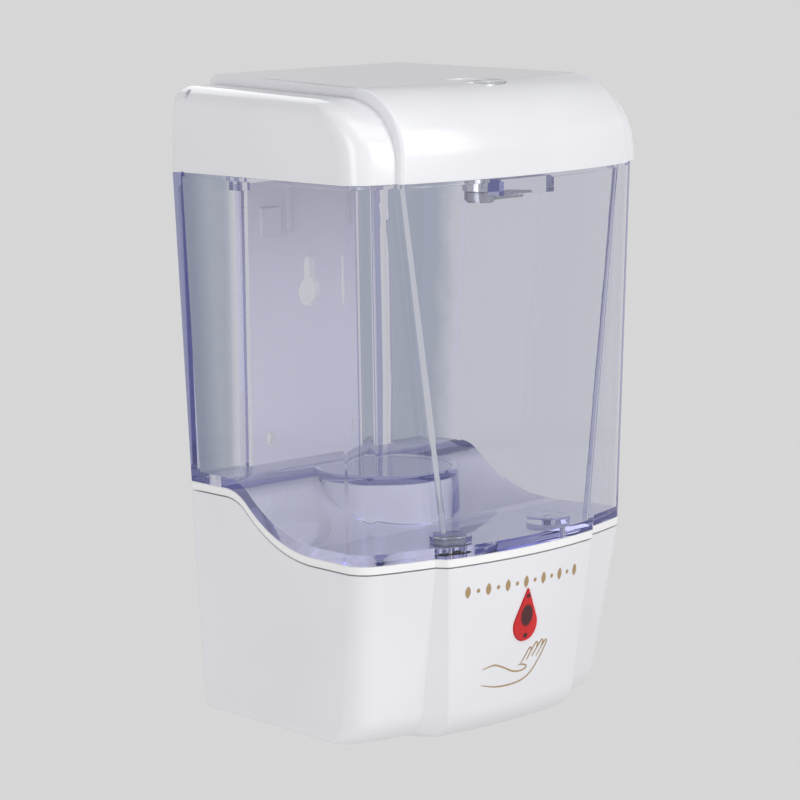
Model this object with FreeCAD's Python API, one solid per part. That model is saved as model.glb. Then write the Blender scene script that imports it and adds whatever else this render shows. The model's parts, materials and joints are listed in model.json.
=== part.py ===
"""Touch-free wall soap dispenser: clear tank, hinged lockable lid, and a base that holds
cells, sensor, motor, gears and a roller pump.

Millimetres.  +X is to the right as seen from the front, +Y runs into the wall, +Z is up.
Heights are measured from the lowest edge of the base and each finished solid is lowered by
HANG_HEIGHT, so that the origin is where the hanging screw passes the wall plane.
"""
import FreeCAD, Part
import math
import os
from collections import namedtuple
from FreeCAD import Vector

# ---------------------------------------------------------------- outer body
BODY_HEIGHT = 200.0         # lowest edge of the base to the middle of the lid
BODY_HALF = 63.3            # half the width at the front, under the lid
BODY_DEPTH = 98.5           # wall to the middle of the front, under the lid
LID_HEIGHT = 28.3
WAIST_HEIGHT = 55.0         # where the front leans back towards the foot
SEAM_BACK = 71.0            # base to tank seam, at the wall
SEAM_FRONT = 55.0           # and at the front
SEAM_FLAT = 18.0            # level part of the seam beside the wall
SEAM_CREST_R = 16.0
SEAM_HOLLOW_R = 50.0
HANG_HEIGHT = 138.8         # shank of the hanging screw

# plan of the body at three heights: half widths, depths from the wall, raised middle band
Plan = namedtuple("Plan", "back front corner centre band rise crown")
TOP_PLAN = Plan(back=BODY_HALF - 8.0, front=BODY_HALF, corner=BODY_DEPTH - 12.0, centre=BODY_DEPTH,
                band=BODY_HALF - 14.3, rise=2.0, crown=2.0)
WAIST_PLAN = Plan(back=BODY_HALF - 14.1, front=BODY_HALF - 3.3,
                  corner=BODY_DEPTH - 15.0, centre=BODY_DEPTH - 4.0,
                  band=BODY_HALF - 30.8, rise=3.2, crown=3.5)
FOOT_PLAN = Plan(back=BODY_HALF - 17.4, front=BODY_HALF - 8.3, corner=BODY_DEPTH - 23.5,
                 centre=BODY_DEPTH - 14.5, band=BODY_HALF - 35.8, rise=7.0, crown=7.0)
CORNER_R = 8.0              # upright front corners
BAND_EDGE_R = 1.5
BAND_FLANK = 12.0           # depth of the band's slanting flank
BAND_FLANK_RUN = 7.0

# ---------------------------------------------------------------- walls and gaps
BASE_WALL = 2.4
TANK_WALL = 3.0
LID_WALL = 2.0
DECK_THICKNESS = 2.4
LID_OVERHANG = 1.0
LID_GAP = 2.2               # lid skirt to tank rim, all round; the rear corners need it to swing
RIM_HEIGHT = 5.0            # tank rim above the lid's lower edge
RIM_BACK_GAP = 0.6
RIM_WALL = 2.0
RIM_LEDGE = 1.5             # underside of the rim's inner ledge, below the lid's lower edge
SEAM_GAP = 0.4
SEAT_GAP = 0.2
FIT_GAP = 0.2
RUN_GAP = 0.05              # radial clearance of a pin that turns in its hole
FOOT_SIDE_R = 3.0
FOOT_FRONT_R = 9.0
LID_SIDE_R = 6.0
LID_FRONT_R = 20.0
LID_BACK_R = 4.0
LID_STEP = 3.2              # top band above the lid's shoulders
LID_BAND_BACK = BODY_HALF - 23.3                # half width of the top band at the wall
LID_SLOPE = 1.6             # degrees that the lid falls towards the front
LID_BACK_GAP = 1.5
LID_SWING = 1.5             # room between the open rear of the lid and the tank's rim
DOME_DIP = 0.3              # top of the motor dome below the level part of the floor

# ---------------------------------------------------------------- wall plate
RECESS_HALF = 27.6
RECESS_DEPTH = 4.0
PLATE_HALF = 26.8
PLATE_THICKNESS = 2.4
PLATE_FOOT = 10.0
PLATE_HEAD = BODY_HEIGHT - LID_HEIGHT - 5.7
KEYHOLE_NECK_R = 2.5
KEYHOLE_BULB_R = 5.0
KEYHOLE_DROP = 9.0
LOWER_SCREW_HEIGHT = 84.0
LOWER_SCREW_R = 2.3
LOWER_SCREW_SPACING = 36.0
HOOK_HALF = 15.0            # the two hooks' distance from the middle
HOOK_WIDTH = 9.0
HOOK_HEIGHT = 56.0
RIB_HEIGHT = 16.0
RIB_PLACES = (-9.0, 15.0, 20.0)

# ---------------------------------------------------------------- pump and motor axis
PUMP_Y = -36.0
BOSS_R = 22.0               # round dome of the tank floor over the motor
TUBE_RACE_R = 18.0
TUBE_BAND = 2.0             # pump tube, pressed flat in its race
TUBE_BAND_HEIGHT = 5.6
HOSE_R = 2.5
HOSE_BORE_R = 1.5
ROLLER_R = 5.0
ROLLER_COUNT = 3
ROLLER_PIN_R = 1.0
ROTOR_PLATE_R = 14.0
ROTOR_PLATE = 1.2
PUMP_WALL = 2.0
PUMP_PLATE = 1.6
PUMP_LIFT = 3.1             # pump above the cell bay

# ---------------------------------------------------------------- gears
GEAR_MODULE = 0.5
PINION_TEETH = 14
WHEEL_TEETH = 42
PRESSURE_ANGLE = 20.0
GEAR_BACKLASH = 0.14
WHEEL_THICKNESS = 3.0
PINION_THICKNESS = 4.0
GEAR_LEVEL_GAP = 0.8
GEARBOX_WALL = 1.6
SHAFT_R = 1.0
MOTOR_R = 10.0
MOTOR_FLAT = 7.6
MOTOR_LENGTH = 19.0
MOTOR_CAP = 2.4
MOTOR_CAP_STEP = 0.4
WIRE_R = 0.6

# ---------------------------------------------------------------- cells
CELL_R = 7.2
CELL_LENGTH = 49.2
CELL_NIPPLE_R = 2.7
CELL_NIPPLE = 1.2
CELL_COUNT = 4
CELL_GAP = 0.2
CELL_PITCH = 2 * CELL_R + CELL_GAP
SPRING_ROOM = 5.0
SPRING_WIRE_R = 0.4
CONTACT = 0.5
BAY_WALL = 1.4
DOOR_THICKNESS = 2.0
DOOR_GAP = 0.4
DOOR_PIN_R = 0.9
DOOR_KNUCKLE_R = 1.8
DOOR_LUG = 4.0

# ---------------------------------------------------------------- front group
BOARD_WIDTH = 32.0
BOARD_HEIGHT = 30.0
BOARD_THICKNESS = 1.6
BOARD_FOOT = 16.0
BOARD_DEPTH = FOOT_PLAN.centre - 0.6
WINDOW_HALF = 5.0           # widest half width of the drop-shaped window
WINDOW_HEIGHT = 33.0        # centre of the drop's round end
WINDOW_TIP = 11.5           # tip above that centre
WINDOW_PROUD = 0.6
NOZZLE_X = 0.0
NOZZLE_SETBACK = 6.4        # in front of the cell bay
NOZZLE_R = 4.5
LENS_X = 14.0
LENS_R = 4.0
SWITCH_X = -16.0
SWITCH_TRAVEL = 4.0
SOCKET_X = 10.0
POST_X = 22.0
POST_Y = 10.5 - WAIST_PLAN.centre
POST_R = 6.5
OUTLET_R = 3.0
SPIGOT_R = 4.5
SPIGOT_LENGTH = 9.0
SCREW_POST_R = 3.2
SCREW_POST_HEIGHT = 14.0

# ---------------------------------------------------------------- lid fittings
LOCK_Y = 21.5 - TOP_PLAN.centre
LOCK_R = 5.5
LOCK_HOUSING_R = 8.0
LOCK_HEAD_R = 9.0
LOCK_HEAD_TOP = BODY_HEIGHT - 0.9
LOCK_HEAD = 1.2
LOCK_HOUSING_FOOT = BODY_HEIGHT - LID_HEIGHT - 5.9
CAM_THICKNESS = 2.5
CAM_REACH = 16.0
CATCH_HALF = 11.0
CATCH_DEPTH = 7.0
HINGE_Y = -6.5
HINGE_HEIGHT = BODY_HEIGHT - 4.4
HINGE_PIN_R = 1.2
HINGE_LUG_R = 2.5
HINGE_X = 30.0
HINGE_LUG = 4.0
LUG_GAP = 0.3               # between the lid's lugs and the tank's
BACK_WALL_HALF = TOP_PLAN.back - 11.3           # raised back wall of the tank, under the lid's rear edge
BACK_WALL_TOP = BODY_HEIGHT - 10.5

# ---------------------------------------------------------------- derived
LID_FOOT = BODY_HEIGHT - LID_HEIGHT
RIM_TOP = LID_FOOT + RIM_HEIGHT
DECK_TOP = SEAM_GAP + DECK_THICKNESS            # above the seam line
TANK_UNDERSIDE = DECK_TOP + SEAT_GAP            # above the seam line
FLOOR_TOP = TANK_UNDERSIDE + TANK_WALL          # above the seam line
PLATEAU = SEAM_BACK + FLOOR_TOP
FAR = 200.0                                     # reach of cutting solids


def save(name, shape):
    """Write one sub-part, lowered so that the origin is at the hanging screw."""
    moved = shape.copy()
    moved.translate(Vector(0, 0, -HANG_HEIGHT))
    moved.exportStep("parts/" + name + ".step")
    print(name, "solids", len(moved.Solids), "valid", moved.isValid(), "volume", round(moved.Volume, 1))


def box(x0, x1, y0, y1, z0, z1):
    """Block between two corners."""
    return Part.makeBox(x1 - x0, y1 - y0, z1 - z0, Vector(x0, y0, z0))


def rod(radius, x, y, z0, z1):
    """Upright cylinder between two heights."""
    return Part.makeCylinder(radius, z1 - z0, Vector(x, y, z0))


def pipe(outer, inner, x, y, z0, z1):
    """Upright tube between two heights."""
    return rod(outer, x, y, z0, z1).cut(rod(inner, x, y, z0, z1))


def rod_x(radius, x0, x1, y, z):
    """Cylinder along X."""
    return Part.makeCylinder(radius, x1 - x0, Vector(x0, y, z), Vector(1, 0, 0))


def rod_y(radius, x, y0, y1, z):
    """Cylinder along Y."""
    return Part.makeCylinder(radius, y1 - y0, Vector(x, y0, z), Vector(0, 1, 0))


def mix(a, b, share):
    """Plan between two plans."""
    return Plan(*(p + (q - p) * share for p, q in zip(a, b)))


def plan_at(height):
    """Plan of the body at a height, straight between foot, waist and top."""
    if height <= WAIST_HEIGHT:
        return mix(FOOT_PLAN, WAIST_PLAN, height / WAIST_HEIGHT)
    return mix(WAIST_PLAN, TOP_PLAN, (height - WAIST_HEIGHT) / (LID_FOOT - WAIST_HEIGHT))


def front_radius(plan):
    """Radius of the bowed front in plan."""
    bow = plan.centre - plan.corner
    return (plan.front ** 2 + bow ** 2) / (2 * bow)


def outline(back, front, corner, centre, radius, height, y_back):
    """Closed plan wire: straight back and sides, rounded front corners, bowed front."""
    bow = centre - corner
    bow_r = (front * front + bow * bow) / (2 * bow)
    bow_centre = Vector(0, bow_r - centre, height)
    rear = Vector(-back, y_back, height)
    along = (Vector(-front, -corner, height) - rear).normalize()
    inward = Vector(-along.y, along.x, 0)
    start = rear + inward * radius
    offset = start - bow_centre
    half = offset.dot(along)
    reach = math.sqrt(half * half - offset.dot(offset) + (bow_r - radius) ** 2) - half
    hub = start + along * reach
    side_end = hub - inward * radius
    outward = (hub - bow_centre).normalize()
    front_end = hub + outward * radius
    middle = hub + (outward - inward).normalize() * radius

    def mirror(point):
        return Vector(-point.x, point.y, point.z)

    return Part.Wire([
        Part.LineSegment(mirror(rear), rear).toShape(),
        Part.LineSegment(rear, side_end).toShape(),
        Part.Arc(side_end, middle, front_end).toShape(),
        Part.Arc(front_end, Vector(0, -centre, height), mirror(front_end)).toShape(),
        Part.Arc(mirror(front_end), mirror(middle), mirror(side_end)).toShape(),
        Part.LineSegment(mirror(side_end), mirror(rear)).toShape(),
    ])


def wing_wire(plan, height, side_in, front_in, back_in):
    """Plan wire of the body without its raised band."""
    radius = max(CORNER_R - min(side_in, front_in), 1.0)
    return outline(plan.back - side_in, plan.front - side_in, plan.corner - front_in,
                   plan.centre - front_in, radius, height, -back_in)


def band_wire(plan, height, side_in, front_in):
    """Plan wire of the raised band, from inside the body to its front."""
    bow_r = front_radius(plan)
    wing_depth = plan.centre - bow_r + math.sqrt(bow_r ** 2 - plan.band ** 2)
    edge = wing_depth + plan.rise - front_in
    half = plan.band - side_in
    crown = plan.centre + plan.crown - front_in
    return outline(half + BAND_FLANK_RUN, half, edge, crown, BAND_EDGE_R, height, BAND_FLANK - edge)


def heights_between(low, high):
    """The two heights, with the waist where it lies between them."""
    return [low] + [h for h in (WAIST_HEIGHT,) if low < h < high] + [high]


def form(low, high, inset=0.0, back_in=0.0):
    """Body with its raised band between two heights, with walls moved inward by inset."""
    steps = heights_between(low, high)
    wings = Part.makeLoft([wing_wire(plan_at(h), h, inset, inset, back_in) for h in steps], True, True)
    band = Part.makeLoft([band_wire(plan_at(h), h, inset * 0.7, inset) for h in steps], True, True)
    return wings.fuse(band).removeSplitter()


def round_in(radius, rise):
    """How far a rounded edge has moved in, at a height above its end."""
    if rise >= radius:
        return 0.0
    return radius - math.sqrt(radius ** 2 - (radius - rise) ** 2)


def foot_form(inset):
    """Lower end of the body, rounded underneath, up to the height where the rounding ends."""
    wings, bands = [], []
    for angle in (0, 10, 20, 32, 45, 60, 75, 90):
        rise = (FOOT_FRONT_R - inset) * (1 - math.cos(math.radians(angle)))
        height = rise + inset
        plan = plan_at(height)
        side = round_in(max(FOOT_SIDE_R - inset, 0.4), rise) + inset
        front = round_in(FOOT_FRONT_R - inset, rise) + inset
        wings.append(wing_wire(plan, height, side, front, inset))
        bands.append(band_wire(plan, height, side * 0.7, front))
    return Part.makeLoft(wings, True, True).fuse(Part.makeLoft(bands, True, True))


def seam_wire(offset):
    """Edges of the S-shaped seam in side view, from behind the wall to in front of the body."""
    drop = SEAM_BACK - SEAM_FRONT
    turn = math.acos(1 - drop / (SEAM_CREST_R + SEAM_HOLLOW_R))
    top = SEAM_BACK + offset
    low = SEAM_FRONT + offset

    def crest(angle):
        return Vector(0, -SEAM_FLAT - SEAM_CREST_R * math.sin(angle),
                      top - SEAM_CREST_R * (1 - math.cos(angle)))

    hollow_y = -SEAM_FLAT - (SEAM_CREST_R + SEAM_HOLLOW_R) * math.sin(turn)

    def hollow(angle):
        return Vector(0, hollow_y + SEAM_HOLLOW_R * math.sin(angle),
                      low + SEAM_HOLLOW_R * (1 - math.cos(angle)))

    start = Vector(0, 10, top)
    end = Vector(0, -FAR, low)
    return start, end, [
        Part.LineSegment(start, crest(0)).toShape(),
        Part.Arc(crest(0), crest(turn / 2), crest(turn)).toShape(),
        Part.Arc(hollow(turn), hollow(turn / 2), hollow(0)).toShape(),
        Part.LineSegment(hollow(0), end).toShape(),
    ]


def below_seam(offset):
    """Everything under the seam, moved up by an offset."""
    start, end, edges = seam_wire(offset)
    floor_start = Vector(0, start.y, -FAR)
    floor_end = Vector(0, end.y, -FAR)
    edges += [
        Part.LineSegment(end, floor_end).toShape(),
        Part.LineSegment(floor_end, floor_start).toShape(),
        Part.LineSegment(floor_start, start).toShape(),
    ]
    face = Part.Face(Part.Wire(edges))
    face.translate(Vector(-FAR, 0, 0))
    return face.extrude(Vector(2 * FAR, 0, 0))


def recess(gap, depth_gap):
    """Pocket in the back of the body that takes the wall plate."""
    return box(-RECESS_HALF - gap, RECESS_HALF + gap, -RECESS_DEPTH - depth_gap, FAR, -FAR, FAR + BODY_HEIGHT)


def route_tube(points, radius, bore=0.0):
    """Round tube or wire along straight runs joined by tangent arcs."""
    points = [Vector(*p) for p in points]
    edges = []
    start = points[0]
    for before, corner, after in zip(points, points[1:], points[2:]):
        into = (corner - before).normalize()
        out = (after - corner).normalize()
        turn = into.getAngle(out)
        room = 0.45 * min((corner - before).Length, (after - corner).Length)
        bend = room / math.tan(turn / 2)
        arc_start = corner - into * room
        arc_end = corner + out * room
        hub = corner + (out - into).normalize() * (bend / math.cos(turn / 2))
        middle = hub + (corner - hub).normalize() * bend
        edges.append(Part.LineSegment(start, arc_start).toShape())
        edges.append(Part.Arc(arc_start, middle, arc_end).toShape())
        start = arc_end
    edges.append(Part.LineSegment(start, points[-1]).toShape())
    path = Part.Wire(edges)
    heading = points[1] - points[0]

    def swept(r):
        ring = Part.Wire([Part.Circle(points[0], heading, r).toShape()])
        return path.makePipeShell([ring], True, False)

    return swept(radius).cut(swept(bore)) if bore else swept(radius)


# ================================================================ tank and deck
def make_tank():
    """Clear tank: S-shaped floor with a round dome, plate recess, catch, posts and hinge lugs."""
    body = form(SEAM_FRONT, LID_FOOT - SEAT_GAP)
    rim_in = LID_GAP + LID_WALL - LID_OVERHANG
    rim = form(LID_FOOT - TANK_WALL, RIM_TOP, rim_in, RIM_BACK_GAP)
    under = below_seam(TANK_UNDERSIDE).fuse(
        rod(BOSS_R - TANK_WALL + 1, 0, PUMP_Y, 0, SEAM_BACK + TANK_UNDERSIDE - DOME_DIP))
    floor = below_seam(FLOOR_TOP).fuse(rod(BOSS_R, 0, PUMP_Y, 0, PLATEAU - DOME_DIP))
    ledge = LID_FOOT - RIM_LEDGE
    void = form(SEAM_FRONT, ledge, TANK_WALL, TANK_WALL)
    void = void.fuse(form(ledge - 1, RIM_TOP + 1, rim_in + RIM_WALL, TANK_WALL))
    void = void.cut(floor).cut(recess(TANK_WALL, TANK_WALL))
    tank = body.fuse(rim).cut(under).cut(recess(0, 0)).cut(void)
    floor_height = SEAM_FRONT + FLOOR_TOP
    for side in (-1, 1):
        tank = tank.fuse(rod(POST_R, side * POST_X, POST_Y, floor_height - 1, floor_height + 2.0))
    tank = tank.fuse(rod(SPIGOT_R, -POST_X, POST_Y, floor_height - SPIGOT_LENGTH, floor_height))
    tank = tank.cut(rod(OUTLET_R, -POST_X, POST_Y, 0, floor_height + 9))
    tank = tank.cut(rod(POST_R - 1.5, -POST_X, POST_Y, floor_height, floor_height + 9))
    tank = tank.cut(rod(1.2, POST_X, POST_Y, 0, floor_height + 1))
    wall_in = plan_at(LID_FOOT).centre + plan_at(LID_FOOT).crown - TANK_WALL
    catch_foot = LOCK_HOUSING_FOOT
    catch = box(-CATCH_HALF, CATCH_HALF, -wall_in - 0.6, CATCH_DEPTH - wall_in, catch_foot, LID_FOOT - 1)
    tank = tank.fuse(catch)
    wall_foot = RIM_TOP - 1
    boss_half = RECESS_HALF + TANK_WALL
    back_wall = box(-BACK_WALL_HALF, BACK_WALL_HALF, -TANK_WALL, -RIM_BACK_GAP, wall_foot, BACK_WALL_TOP)
    back_wall = back_wall.fuse(box(-boss_half, boss_half, -RECESS_DEPTH - TANK_WALL, -RIM_BACK_GAP,
                                   wall_foot, BACK_WALL_TOP))
    tank = tank.fuse(back_wall.cut(recess(0, 0)))
    for x in (-HINGE_X - HINGE_LUG, HINGE_X):
        tank = tank.fuse(hinge_lug(x, RIM_TOP - 12))
    return tank.cut(rod_x(HINGE_PIN_R, -FAR, FAR, HINGE_Y, HINGE_HEIGHT)).removeSplitter()


def hinge_lug(x, foot):
    """Lug with a round head at the lid's hinge axis, standing from a height."""
    head = rod_x(HINGE_LUG_R, x, x + HINGE_LUG, HINGE_Y, HINGE_HEIGHT)
    stem = box(x, x + HINGE_LUG, HINGE_Y - HINGE_LUG_R, HINGE_Y + HINGE_LUG_R, foot, HINGE_HEIGHT)
    return head.fuse(stem)


def make_deck():
    """White deck under the tank, with the collar edge, the motor dome and a locating lip."""
    outer = form(SEAM_FRONT - 8, SEAM_BACK + 12)
    top = below_seam(DECK_TOP).fuse(
        rod(BOSS_R - TANK_WALL + 1 - FIT_GAP, 0, PUMP_Y, 0, SEAM_BACK + DECK_TOP - DOME_DIP))
    under = below_seam(SEAM_GAP).fuse(
        rod(BOSS_R - TANK_WALL + 1 - FIT_GAP - DECK_THICKNESS, 0, PUMP_Y, 0, SEAM_BACK + SEAM_GAP - DOME_DIP))
    deck = outer.common(top.cut(under))
    lip_in = BASE_WALL + FIT_GAP
    low, high = SEAM_FRONT - 8, SEAM_BACK + 12
    ring = form(low, high, lip_in, lip_in).cut(form(low, high, lip_in + 1.6, lip_in + 1.6))
    lip = ring.common(below_seam(SEAM_GAP)).cut(below_seam(-4.0))
    lip = lip.cut(recess(lip_in, lip_in))
    deck = deck.fuse(lip).cut(recess(0, 0))
    deck = deck.cut(rod(SPIGOT_R + 1.6, -POST_X, POST_Y, 0, FAR))
    deck = deck.cut(rod(1.7, POST_X, POST_Y, 0, FAR))
    return deck.removeSplitter()


def make_outlet_seal():
    """Rubber ring between the tank's spigot and the deck."""
    z0 = SEAM_FRONT + SEAM_GAP
    return pipe(SPIGOT_R + 1.5, SPIGOT_R + 0.02, -POST_X, POST_Y, z0, z0 + DECK_THICKNESS)


def make_strainer():
    """Slotted disc over the tank's outlet."""
    z0 = SEAM_FRONT + FLOOR_TOP + 0.05
    disc = rod(POST_R - 1.7, -POST_X, POST_Y, z0, z0 + 1.0)
    for step in (-2, -1, 0, 1, 2):
        x = -POST_X + step * 1.7
        disc = disc.cut(box(x - 0.4, x + 0.4, POST_Y - 2.6, POST_Y + 2.6, z0 - 1, z0 + 3))
    return disc


# ================================================================ lid
def lid_form(inset, foot):
    """Lid shape: shoulders with small side and large front rounding, and the raised top band."""
    top = BODY_HEIGHT - inset
    wing_top = top - LID_STEP
    wings = [lid_section(h, foot, wing_top, inset, False) for h in rounding_heights(foot, wing_top)]
    bands = [lid_section(h, foot, top, inset, True) for h in rounding_heights(foot, top)]
    return Part.makeLoft(wings, True, True).fuse(Part.makeLoft(bands, True, True))


def rounding_heights(foot, top):
    """Heights that follow the lid's top roundings, closer together towards the top."""
    turns = [math.radians(a) for a in (0, 12, 24, 36, 46, 56, 65, 74, 82, 90)]
    return [foot] + [top - LID_FRONT_R * (1 - math.sin(a)) for a in turns]


def lid_section(height, foot, top, inset, is_band):
    """One plan wire of the lid, tipped a little more towards the top."""
    share = (height - foot) / (top - foot)
    fall = top - height
    draft = 0.9 * share
    side = inset - LID_OVERHANG + draft
    front = round_in(LID_FRONT_R - inset, fall) + side
    side_round = round_in(max(LID_SIDE_R - inset, 2.0), fall) + side
    back = round_in(max(LID_BACK_R - inset, 1.0), fall) + LID_BACK_GAP + inset
    plan = plan_at(LID_FOOT)
    if is_band:
        wire = lid_band_wire(plan, height, side, front, back, share)
    else:
        wire = wing_wire(plan, height, side_round, front, back)
    wire.rotate(Vector(0, -50, height), Vector(1, 0, 0), LID_SLOPE * share)
    return wire


def lid_band_wire(plan, height, side, front, back, share):
    """Plan wire of the lid's top band: narrower at the wall, level with the front band."""
    bow_r = front_radius(plan)
    wing_depth = plan.centre - bow_r + math.sqrt(bow_r ** 2 - plan.band ** 2)
    edge = wing_depth + plan.rise - front
    crown = plan.centre + plan.crown - front
    half = plan.band - 0.4 * side
    return outline(LID_BAND_BACK - 0.4 * side + 3 * (1 - share), half + 1.5 * (1 - share), edge, crown,
                   BAND_EDGE_R, height, -back)


def make_lid():
    """White lid: shell open below and at the wall, lock housing and hinge lugs."""
    outer = lid_form(0.0, LID_FOOT)
    inner = lid_form(LID_WALL, LID_FOOT - 1)
    lid = outer.cut(inner)
    gap_depth = LID_BACK_GAP + LID_WALL + 1
    gap_half = BACK_WALL_HALF + LID_SWING
    inner_half = TOP_PLAN.back + LID_OVERHANG - LID_WALL
    lid = lid.cut(box(-gap_half, gap_half, -gap_depth, 10, LID_FOOT - 2, HINGE_HEIGHT - HINGE_LUG_R))
    lid = lid.cut(box(-inner_half, inner_half, -gap_depth, 10, LID_FOOT - 2, RIM_TOP + LID_SWING))
    for x in (-HINGE_X - HINGE_LUG, HINGE_X):
        lid = lid.cut(box(x - LUG_GAP, x + HINGE_LUG + LUG_GAP, -gap_depth, 10,
                          LID_FOOT, HINGE_HEIGHT + HINGE_LUG_R + FIT_GAP))
    lid = lid.cut(swing_corner())
    housing = rod(LOCK_HOUSING_R, 0, LOCK_Y, LOCK_HOUSING_FOOT, BODY_HEIGHT)
    lid = lid.fuse(housing.common(outer))
    lugs = []
    for x in (-HINGE_X + LUG_GAP, HINGE_X - HINGE_LUG - LUG_GAP):
        lug = rod_x(HINGE_LUG_R, x, x + HINGE_LUG, HINGE_Y, HINGE_HEIGHT)
        post = box(x, x + HINGE_LUG, HINGE_Y - HINGE_LUG_R, HINGE_Y + HINGE_LUG_R,
                   HINGE_HEIGHT, BODY_HEIGHT + 9)
        lugs.append(lug.fuse(post).common(outer))
    lid = lid.fuse(lugs[0]).fuse(lugs[1])
    lid = lid.cut(rod_x(HINGE_PIN_R + RUN_GAP, -FAR, FAR, HINGE_Y, HINGE_HEIGHT))
    lid = lid.cut(rod(LOCK_R + RUN_GAP, 0, LOCK_Y, 0, FAR + BODY_HEIGHT))
    seat = LOCK_HEAD_TOP - LOCK_HEAD
    return lid.cut(rod(LOCK_HEAD_R + FIT_GAP, 0, LOCK_Y, seat, BODY_HEIGHT + 9)).removeSplitter()


def swing_corner():
    """What the lid's lower rear corners leave out, so that they clear the tank as they swing."""
    reach = HINGE_HEIGHT - LID_FOOT - FIT_GAP
    corner = box(-FAR, FAR, HINGE_Y, 10, LID_FOOT - 2, HINGE_HEIGHT - reach / 2)
    return corner.cut(rod_x(reach, -FAR, FAR, HINGE_Y, HINGE_HEIGHT))


def make_lock_barrel():
    """Lock cylinder with its round head and key slot."""
    foot = LOCK_HOUSING_FOOT - CAM_THICKNESS - 1.2
    barrel = rod(LOCK_R, 0, LOCK_Y, LOCK_HOUSING_FOOT, LOCK_HEAD_TOP)
    barrel = barrel.fuse(rod(LOCK_HEAD_R, 0, LOCK_Y, LOCK_HEAD_TOP - LOCK_HEAD + 0.05, LOCK_HEAD_TOP))
    barrel = barrel.fuse(rod(LOCK_R - 2.5, 0, LOCK_Y, foot, LOCK_HOUSING_FOOT))
    slot = box(-3.0, 3.0, LOCK_Y - 0.6, LOCK_Y + 0.6, LOCK_HEAD_TOP - 6, LOCK_HEAD_TOP + 1)
    return barrel.cut(slot)


def make_lock_cam():
    """Cam arm under the barrel; a quarter turn puts it under the tank's catch."""
    top = LOCK_HOUSING_FOOT - 0.4
    arm = rod(5.0, 0, LOCK_Y, top - CAM_THICKNESS, top)
    arm = arm.fuse(box(0, CAM_REACH, LOCK_Y - 3.5, LOCK_Y + 3.5, top - CAM_THICKNESS, top))
    return arm.cut(rod(LOCK_R - 2.5, 0, LOCK_Y, 0, FAR))


def make_lock_clip():
    """Spring clip that keeps the cam on the barrel."""
    top = LOCK_HOUSING_FOOT - 0.4 - CAM_THICKNESS
    return pipe(4.2, LOCK_R - 2.5, 0, LOCK_Y, top - 0.7, top)


def make_hinge_pins():
    """Two steel pins of the lid's hinge."""
    length = 2 * HINGE_LUG + 2 * LUG_GAP
    start = HINGE_X - HINGE_LUG - LUG_GAP
    right = rod_x(HINGE_PIN_R, start, start + length, HINGE_Y, HINGE_HEIGHT)
    left = rod_x(HINGE_PIN_R, -HINGE_X - HINGE_LUG, -HINGE_X - HINGE_LUG + length, HINGE_Y, HINGE_HEIGHT)
    return Part.makeCompound([left, right])


# ================================================================ base
BAY_FOOT = DOOR_THICKNESS + DOOR_GAP
BAY_HALF = (CELL_LENGTH + CELL_NIPPLE + SPRING_ROOM + 2 * CONTACT) / 2
BAY_BACK = -(RECESS_DEPTH + BASE_WALL + 2.2)
BAY_FRONT = BAY_BACK - 2 * BAY_WALL - CELL_COUNT * CELL_PITCH
CELL_HEIGHT = BAY_FOOT + CELL_R + 0.3
BAY_TOP = CELL_HEIGHT + CELL_R + 0.4
DOOR_HINGE_Y = BAY_BACK - BAY_WALL - DOOR_KNUCKLE_R - 0.4
DOOR_HINGE_HEIGHT = DOOR_KNUCKLE_R + 0.2
PUMP_FOOT = BAY_TOP + BAY_WALL + PUMP_LIFT      # underside of the pump
NOZZLE_Y = BAY_FRONT - NOZZLE_SETBACK
DOOR_KNUCKLES = (-18.0, 12.0)
DOOR_KNUCKLE = 6.0


def make_base():
    """White base shell with its openings."""
    seam = below_seam(0)
    shell = foot_form(0.0).fuse(form(FOOT_FRONT_R, SEAM_BACK + 5)).common(seam)
    hollow = foot_form(BASE_WALL).fuse(form(FOOT_FRONT_R, SEAM_BACK + 6, BASE_WALL, BASE_WALL))
    hollow = hollow.cut(recess(BASE_WALL, BASE_WALL))
    shell = shell.cut(hollow).cut(recess(0, 0))
    door_hole = box(-BAY_HALF - BAY_WALL, BAY_HALF + BAY_WALL, BAY_FRONT, BAY_BACK, -1, BASE_WALL + 1)
    shell = shell.cut(door_hole)
    shell = shell.cut(rod(NOZZLE_R + 0.8, NOZZLE_X, NOZZLE_Y, -1, BASE_WALL + 1))
    shell = shell.cut(rod(LENS_R + FIT_GAP, LENS_X, NOZZLE_Y, -1, BASE_WALL + 1))
    slot_half = 2.0 + SWITCH_TRAVEL / 2 + 0.4
    shell = shell.cut(box(SWITCH_X - slot_half, SWITCH_X + slot_half, NOZZLE_Y - 1.9, NOZZLE_Y + 1.9,
                          -1, BASE_WALL + 1))
    shell = shell.cut(window_prism(FIT_GAP))
    for side in (-1, 1):
        x = side * HOOK_HALF
        shell = shell.cut(box(x - HOOK_WIDTH / 2 - 0.5, x + HOOK_WIDTH / 2 + 0.5,
                              -RECESS_DEPTH - BASE_WALL - 1, -RECESS_DEPTH + 1,
                              HOOK_HEIGHT - 4.5, HOOK_HEIGHT + 4.5))
    foot = SEAM_FRONT - SCREW_POST_HEIGHT
    post = rod(SCREW_POST_R, POST_X, POST_Y, foot, SEAM_FRONT - SEAT_GAP)
    web = box(POST_X - 0.8, POST_X + 0.8, -FAR, POST_Y, foot, SEAM_FRONT - 5.0)
    web = web.common(form(WAIST_HEIGHT / 2, SEAM_FRONT, BASE_WALL / 2))
    return shell.fuse(post).fuse(web).cut(rod(1.7, POST_X, POST_Y, foot - 1, SEAM_FRONT + 1)).removeSplitter()


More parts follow.
